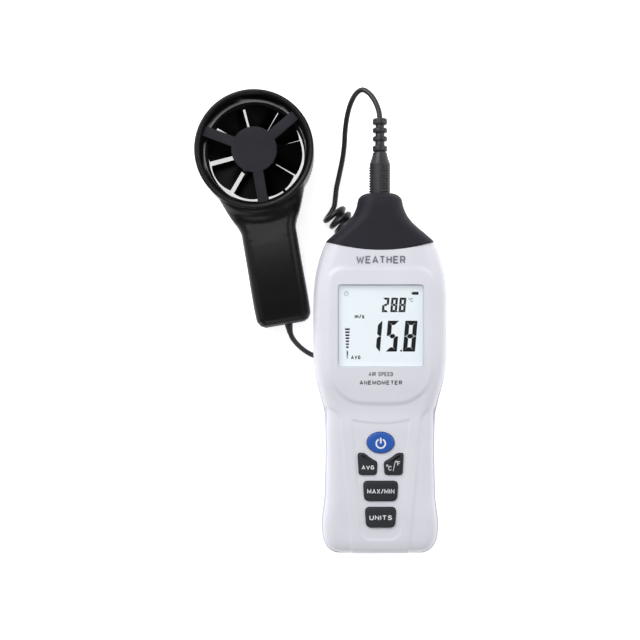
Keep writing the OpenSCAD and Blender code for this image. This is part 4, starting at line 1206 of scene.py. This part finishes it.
legend("average", lettering("word", "AVG", 2.3, (-7.1, 48.7), PRINT_Z, 6.8, 0.46))
legend(
    "temperature",
    arc_strip("degree", 3.55, 49.75, 0.42, 0.26, PRINT_Z, count=20),
    lettering("unit", "C", 2.5, (5.05, 48.3), PRINT_Z, 1.8, 0.36),
    flat("slash", [[(6.65, 46.7), (6.95, 46.7), (8.15, 52.1), (7.85, 52.1)]], PRINT_Z),
    arc_strip("degree", 8.6, 52.0, 0.4, 0.24, PRINT_Z, count=20),
    lettering("unit", "F", 2.4, (9.95, 50.9), PRINT_Z, 1.6, 0.36),
)
legend("max_min", lettering("word", "MAX/MIN", 2.6, (0, 35.6), PRINT_Z, 15.0, 0.44))
legend("units", lettering("word", "UNITS", 2.6, (0, 21.1), PRINT_Z, 12.4, 0.46))
legend(
    "power",
    arc_strip("ring", 0, 61.9, 2.5, 0.85, PRINT_Z, 118, 422),
    flat("bar", [rectangle(0.9, 3.2, 0.25, 0, 63.5, 3)], PRINT_Z),
)

# ---------------------------------------------------------------- print on the case

FACE_Z = 37.0  # the words are drawn at this height, then laid on the case's curve
INK_SUNK = 0.012
title = lettering("title", "ANEMOMETER", 2.4, (0, 95.4), FACE_Z, 23.4, 0.52)
speed = lettering("speed", "AIR SPEED", 2.3, (0, 100.1), FACE_Z, 13.4, 0.4)
heading = lettering("heading", "WEATHER", 4.2, (0, 162.9), FACE_Z, 27.0, 0.75)
for piece in (title, speed, heading):
    for v in piece.data.vertices:
        v.co.z += curve(CASE_CURVE, v.co.y, 2) - FACE_Z - INK_SUNK
settle(merge("face_print", [title, speed]), METER, "meter", ink_black)
settle(heading, METER, "meter", ink_grey)

# ---------------------------------------------------------------- the display's figures

FIGURE_Z = 35.205  # just clear of the glass
FIGURE_INK = 0.02
LEAN = 0.085
SEGMENTS = {"1": "bc", "2": "abged", "5": "afgcd", "8": "abcdefg"}


def segments(code, x, y, w, h, t, gap):
    """Outlines of a seven-segment figure, w by h, whose lower left corner is at x, y; t is the
    width of a segment and gap the clear space at its ends."""
    mid = h / 2
    horizontal = [(gap, 0), (w - gap, 0), (w - t - gap, -t), (t + gap, -t)]
    shapes = {
        "a": [(px, h + py) for px, py in horizontal],
        "d": [(px, -py) for px, py in reversed(horizontal)],
        "g": [
            (t * 0.55 + gap, mid), (t + gap, mid - t / 2), (w - t - gap, mid - t / 2),
            (w - t * 0.55 - gap, mid), (w - t - gap, mid + t / 2), (t + gap, mid + t / 2),
        ],
        "f": [
            (0, mid + gap), (t * 0.5, mid + gap), (t, mid + t / 2 + gap), (t, h - t - gap),
            (t * 0.15, h - gap * 1.2), (0, h - gap * 2),
        ],
    }
    shapes["b"] = [(w - px, py) for px, py in reversed(shapes["f"])]
    shapes["e"] = [(px, h - py) for px, py in reversed(shapes["f"])]
    shapes["c"] = [(w - px, py) for px, py in reversed(shapes["e"])]
    return [[(x + px + LEAN * py, y + py) for px, py in shapes[s]] for s in SEGMENTS[code]]


# Main reading and second reading, each with its point
figures = []
for code, x, w in (("1", -7.6, 7.2), ("5", 2.6, 6.3), ("8", 12.2, 6.7)):
    figures += segments(code, x, 112.4, w, 17.0, 2.35, 0.12)
for code, x in (("2", 0.6), ("8", 5.3), ("8", 9.9)):
    figures += segments(code, x, 134.1, 3.6, 8.0, 1.25, 0.08)
figures.append(rectangle(1.0, 1.0, 0.2, 11.3, 112.9, 3))
figures.append(rectangle(0.6, 0.6, 0.1, 9.45, 134.4, 3))
# Battery sign
figures.append(rectangle(3.3, 1.6, 0.2, 19.2, 144.5, 3))
figures.append([(17.0, 144.1), (17.6, 144.1), (17.6, 144.9), (17.0, 144.9)])
# Bar graph, narrowing downwards, and the pointer under it
for i, width in enumerate((2.6, 2.4, 2.2, 2.0, 1.8, 1.6, 1.35)):
    figures.append(rectangle(width, 0.95, 0.05, -18.3, 124.7 - 1.65 * i, 2))
figures.append([(-18.6, 108.4), (-18.3, 108.4), (-17.9, 112.0), (-18.5, 113.4), (-18.7, 113.2)])
settle(
    merge(
        "display_figures",
        [
            flat("figures", figures, FIGURE_Z, FIGURE_INK),
            lettering("unit", "m/s", 2.3, (-11.6, 131.8), FIGURE_Z, 5.4, 0.5, FIGURE_INK),
            lettering("mode", "AVG", 2.1, (-13.7, 109.2), FIGURE_Z, 5.2, 0.48, FIGURE_INK),
        ],
    ),
    METER,
    "meter",
    crystal_dark,
)
clock_hands = [
    (-19.0, 144.3), (-18.1, 144.3), (-18.1, 144.5), (-18.8, 144.5), (-18.8, 145.2), (-19.0, 145.2),
]
settle(
    merge(
        "display_signs",
        [
            arc_strip("clock", -18.9, 144.4, 1.15, 0.22, FIGURE_Z, count=32),
            flat("hands", [clock_hands], FIGURE_Z, FIGURE_INK),
            arc_strip("degree", 15.7, 141.5, 0.32, 0.2, FIGURE_Z, count=20),
            lettering("unit", "C", 2.1, (17.2, 140.9), FIGURE_Z, 1.6, 0.35, FIGURE_INK),
        ],
    ),
    METER,
    "meter",
    crystal_faint,
)

# ---------------------------------------------------------------- probe's housing

RING_R, RING_H, DUCT_R = 33.3, 29.2, 28.6
PROBE_SPLIT = 14.6
MOUTH_R, MOUTH_H = 31.9, 9.0
BACK_R = 27.7
LIP_R = 0.7
# Distance from the ring's middle, half width, height of the front, height of the back
HANDLE_CURVE = [
    (14, 27.5, 27.4, 0), (30, 21.9, 27.4, 0), (34, 20.3, 26.6, 0), (38, 18.5, 22.8, 0),
    (41, 16.9, 21.4, 0), (46, 15.5, 21.9, 0), (53, 15.5, 22.6, 0), (62, 15.5, 22.8, 0),
    (84, 15.7, 22.1, 0), (94.4, 15.5, 21, 0.5), (98, 13.7, 19, 2.4), (99.4, 11.1, 16.2, 5),
]
HANDLE_CORNER = 5.5
ROUND_RING = 50  # up to here the handle's front falls away in circles about the ring's middle
SPOKE_ANGLES = (-90, 30, 150)
SPOKE_W, SPOKE_END, SPOKE_GAP = 5.8, 31.0, 0.1
BRIDGE_T, BRIDGE_HUB_R = 2.4, 12.8
FRONT_BRIDGE_Z, REAR_BRIDGE_Z = 24.6, 2.2
PROBE_SCREWS = [(-17.5, -29), (17.5, -29), (-10.4, -52), (10.4, -52), (-10.4, -90), (10.4, -90)]
HANDLE_ROWS = steps(14, 50, 60) + steps(51, 94, 44) + steps(94.4, 99, 16) + [99.2, 99.4]


def handle_half(name, rows, upper, inset, z0, flat=40, arc=10):
    """Half of the handle; near the ring its front falls away round the ring's own middle."""
    rings = []
    for v in rows:
        top = curve(HANDLE_CURVE, v, 2)
        z1 = top - inset if upper else curve(HANDLE_CURVE, v, 3) + inset
        ring = []
        w = curve(HANDLE_CURVE, v, 1) - inset
        for x, z, _, _ in half_section(w, z0, z1, HANDLE_CORNER - inset / 2, flat, arc):
            if upper and v < ROUND_RING:
                lower = curve(HANDLE_CURVE, min(math.hypot(x, v), ROUND_RING + 10), 2) - inset
                z = z0 + (z - z0) * (lower - z0) / (z1 - z0)
            ring.append((x, -v, z))
        rings.append(ring)
    return skin(name, rings)


def ring_half(z0, z1):
    """Half of the ring: the front flares to a thin lip, the back closes in a little round the vane;
    z1 is its free face."""
    d = 1 if z1 > z0 else -1
    mouth = MOUTH_R if d > 0 else BACK_R
    profile = [(DUCT_R, z0), (RING_R, z0)]
    for a in steps(0, math.pi / 2, 5):
        profile.append((RING_R - LIP_R * (1 - math.cos(a)), z1 - d * LIP_R * (1 - math.sin(a))))
    for a in steps(math.pi / 2, 0, 18):
        profile.append((mouth - (mouth - DUCT_R) * math.cos(a), z1 - d * MOUTH_H * (1 - math.sin(a))))
    return lathe("ring", profile, 180)


def spoke_slots(z):
    """Pockets in the ring for a bridge's spokes."""
    slots = []
    w, gap = SPOKE_W / 2 + SPOKE_GAP, SPOKE_GAP
    for angle in SPOKE_ANGLES:
        slot = box_block(DUCT_R - 1, SPOKE_END + gap, -w, w, z - gap, z + BRIDGE_T + gap)
        slot.data.transform(Matrix.Rotation(math.radians(angle), 4, "Z"))
        slots.append(slot)
    return slots


def gland_bore():
    """Stepped hole that grips the cord's gland, cut in both halves of the handle."""
    bore = spindle("bore", [(2.3, -6), (2.3, 1), (3.5, 1), (3.5, 5.6)], 48)
    place = Matrix.Translation((GLAND_X, GLAND_Y, GLAND_Z)) @ Matrix.Rotation(math.pi / 2, 4, "X")
    bore.data.transform(place @ Matrix.Translation((0, 0, -1.1)))
    return bore


def shade_duct_wall(half):
    """Gives the duct's wall its painted shade: a darker, rough black that mirrors almost nothing."""
    half.data.materials.append(abs_black_duct_shade)
    into_probe = PROBE.inverted()
    for face in half.data.polygons:
        spot = into_probe @ face.center
        in_duct = BACK_R - 0.2 < math.hypot(spot.x, spot.y) < DUCT_R + 0.3
        if in_duct and abs(face.normal.z) < 0.5:
            # These faces get the painted shade of the duct
            face.material_index = 1


HOLLOW_ROWS = steps(41, 96, 22)
HANDLE_WALL = 2.2
PROBE_BOSS_R, PROBE_WELL_R, PROBE_BORE_R = 2.9, 1.9, 1.1
for upper, name, z0, z1, bridge_z in (
    (True, "probe_front", PROBE_SPLIT, RING_H, FRONT_BRIDGE_Z),
    (False, "probe_back", PROBE_SPLIT - SEAM, 0, REAR_BRIDGE_Z),
):
    half = handle_half(name, HANDLE_ROWS, upper, 0, z0)
    hollow_z = z0 - PAST if upper else z0 + PAST
    combine(half, "DIFFERENCE", pin(0, 0, -PAST, 40, DUCT_R + 1.5, 180))
    combine(half, "UNION", ring_half(z0, z1))
    combine(
        half,
        "DIFFERENCE",
        handle_half("hollow", HOLLOW_ROWS, upper, HANDLE_WALL, hollow_z, flat=20, arc=6),
        box_block(-2, 2, -44, PAST - DUCT_R, PROBE_SPLIT - 3, PROBE_SPLIT + 3),
        *spoke_slots(bridge_z),
    )
    if not upper:
        combine(half, "UNION", *[pin(x, y, 1, z0, PROBE_BOSS_R) for x, y in PROBE_SCREWS])
        combine(
            half,
            "DIFFERENCE",
            *[pin(x, y, -PAST, 4, PROBE_WELL_R) for x, y in PROBE_SCREWS],
            *[pin(x, y, 3.5, 20, PROBE_BORE_R) for x, y in PROBE_SCREWS],
        )
    combine(half, "DIFFERENCE", gland_bore())
    settle(half, PROBE, "probe", abs_black_satin, [name], sharp=40)
    if not upper:
        shade_duct_wall(half)

# ---------------------------------------------------------------- bridges and vane

SPOKES = len(SPOKE_ANGLES)
HUB_EDGE = 0.6
SEAT_R, SEAT_H, SEAT_WALL_R = 2.0, 2.4, 3.4
CUP_R, CUP_Z = 11.4, (2.3, 5.8)


def bridge(name, z, seat):
    """Bridge over one end of the duct: a disc and spokes, with a bearing's seat that starts at a
    height of its own. The rear one has a cup for the pickup board as well."""
    edge_z = z + BRIDGE_T - HUB_EDGE
    profile = [(BRIDGE_HUB_R - 0.5, z), (BRIDGE_HUB_R, z + 0.5), (BRIDGE_HUB_R, edge_z)]
    for a in steps(0.2, math.pi / 2, 4):
        profile.append((BRIDGE_HUB_R - HUB_EDGE * (1 - math.cos(a)), edge_z + HUB_EDGE * math.sin(a)))
    hub = spindle(name, profile, 128)
    w = SPOKE_W / 2
    spoke = soften(box_block(BRIDGE_HUB_R - 3, SPOKE_END, -w, w, z + 0.1, z + BRIDGE_T - 0.1), 0.35)
    spokes = repeat(
        "spokes", spoke, SPOKES, nylon_filled, math.radians(SPOKE_ANGLES[0]), 2 * math.pi / SPOKES
    )
    combine(hub, "UNION", spokes, pin(0, 0, seat, seat + 3, SEAT_WALL_R))
    hole = pin(0, 0, seat - PAST, seat + SEAT_H + PAST, 1)
    combine(hub, "DIFFERENCE", pin(0, 0, seat, seat + SEAT_H, SEAT_R), hole)
    if name == "rear_bridge":
        low, high = z + CUP_Z[0], z + CUP_Z[1]
        cup = [(CUP_R, low), (BRIDGE_HUB_R, low), (BRIDGE_HUB_R, high), (CUP_R, high)]
        combine(hub, "UNION", lathe("cup", cup, 128))
    settle(hub, PROBE, "probe", nylon_filled, [name], sharp=40)


bridge("front_bridge", FRONT_BRIDGE_Z, FRONT_BRIDGE_Z - SEAT_H)
bridge("rear_bridge", REAR_BRIDGE_Z, REAR_BRIDGE_Z + BRIDGE_T)

BLADES = 8
BLADE_R, HUB_R, HUB_H = 26.9, 12.0, 10.4
BLADE_TURN = math.radians(27.5)
TIP_CORNER = 0.8  # what a blade's tip loses at its corners
BLADE_T = 1.0
SLIT, SLIT_GROWTH = 1.15, 0.35  # clear width between two blades at the hub, and its growth to the tip
RISE, RISE_LOSS = 4.6, 0.5  # half a blade's height at the hub, and what it loses to the tip


def blade():
    """One twisted blade, whose edges leave narrow slits to its neighbours."""
    rings = []
    for r in steps(HUB_R - 1, BLADE_R, 14):
        out = smoothstep(HUB_R, BLADE_R, r)
        slit = SLIT + SLIT_GROWTH * out
        half = math.pi / BLADES - slit / 2 / r
        rise = RISE - RISE_LOSS * out
        upper, lower = [], []
        for u in steps(-1, 1, 10):
            a = u * half
            reach = r - TIP_CORNER * u * u * smoothstep(18, BLADE_R, r)
            z = rise * (u - 0.12 * math.sin(math.pi * u)) * 0.92
            thick = BLADE_T * (1 - 0.55 * u * u) / 2
            upper.append((reach * math.cos(a), reach * math.sin(a), z + thick))
            lower.append((reach * math.cos(a), reach * math.sin(a), z - thick))
        rings.append(upper + lower[::-1])
    return skin("blade", rings)


AXLE_BORE_R, VANE_BOSS_R, VANE_FLOOR = 0.75, 3.0, -3.6
VANE_TOP, VANE_CHAMFER, VANE_WALL = HUB_H / 2, 0.6, 1.4
vane = lathe(
    "vane",
    [
        (AXLE_BORE_R, -VANE_TOP), (HUB_R - VANE_CHAMFER, -VANE_TOP), (HUB_R, VANE_CHAMFER - VANE_TOP),
        (HUB_R, VANE_TOP - VANE_CHAMFER), (HUB_R - VANE_CHAMFER, VANE_TOP), (HUB_R - VANE_WALL, VANE_TOP),
        (HUB_R - VANE_WALL, VANE_FLOOR), (VANE_BOSS_R, VANE_FLOOR), (VANE_BOSS_R, VANE_TOP),
        (AXLE_BORE_R, VANE_TOP),
    ],
    96,
)
blades = repeat("blades", blade(), BLADES, polycarbonate_black, BLADE_TURN, 2 * math.pi / BLADES)
combine(vane, "UNION", blades)
vane.data.transform(Matrix.Translation((0, 0, PROBE_SPLIT)))
settle(vane, PROBE, "impeller", polycarbonate_black, ["impeller"], sharp=40)

# ---------------------------------------------------------------- inner pieces kept from the frame

# Finish of each node that is shown as the frame has it
FINISHES = {
    "display_gasket": foam_white, "lcd_glass": panel_pale, "backlight": diffuser_white,
    "lcd_frame": diffuser_white, "contact_strips": silicone_pink, "main_board": board_green,
    "board_parts": epoxy_black, "buzzer": epoxy_black, "dome_switches": stainless,
    "keypad_mat": silicone_grey, "battery": can_lacquer, "battery_snap": epoxy_black,
    "case_screws": zinc_steel, "board_screws": zinc_steel, "jack_socket": epoxy_black,
    "jack_leads": pvc_red, "plug_shell": nickel, "plug_pins": gold_flash,
    "front_bearing": ruby, "rear_bearing": ruby, "axle": stainless, "pickup_board": board_green,
    "temperature_sensor": epoxy_bead, "probe_board": board_green, "probe_screws": zinc_steel,
}
for node, material in FINISHES.items():
    mesh = frame["nodes"][node].data
    mesh.materials.clear()
    mesh.materials.append(material)
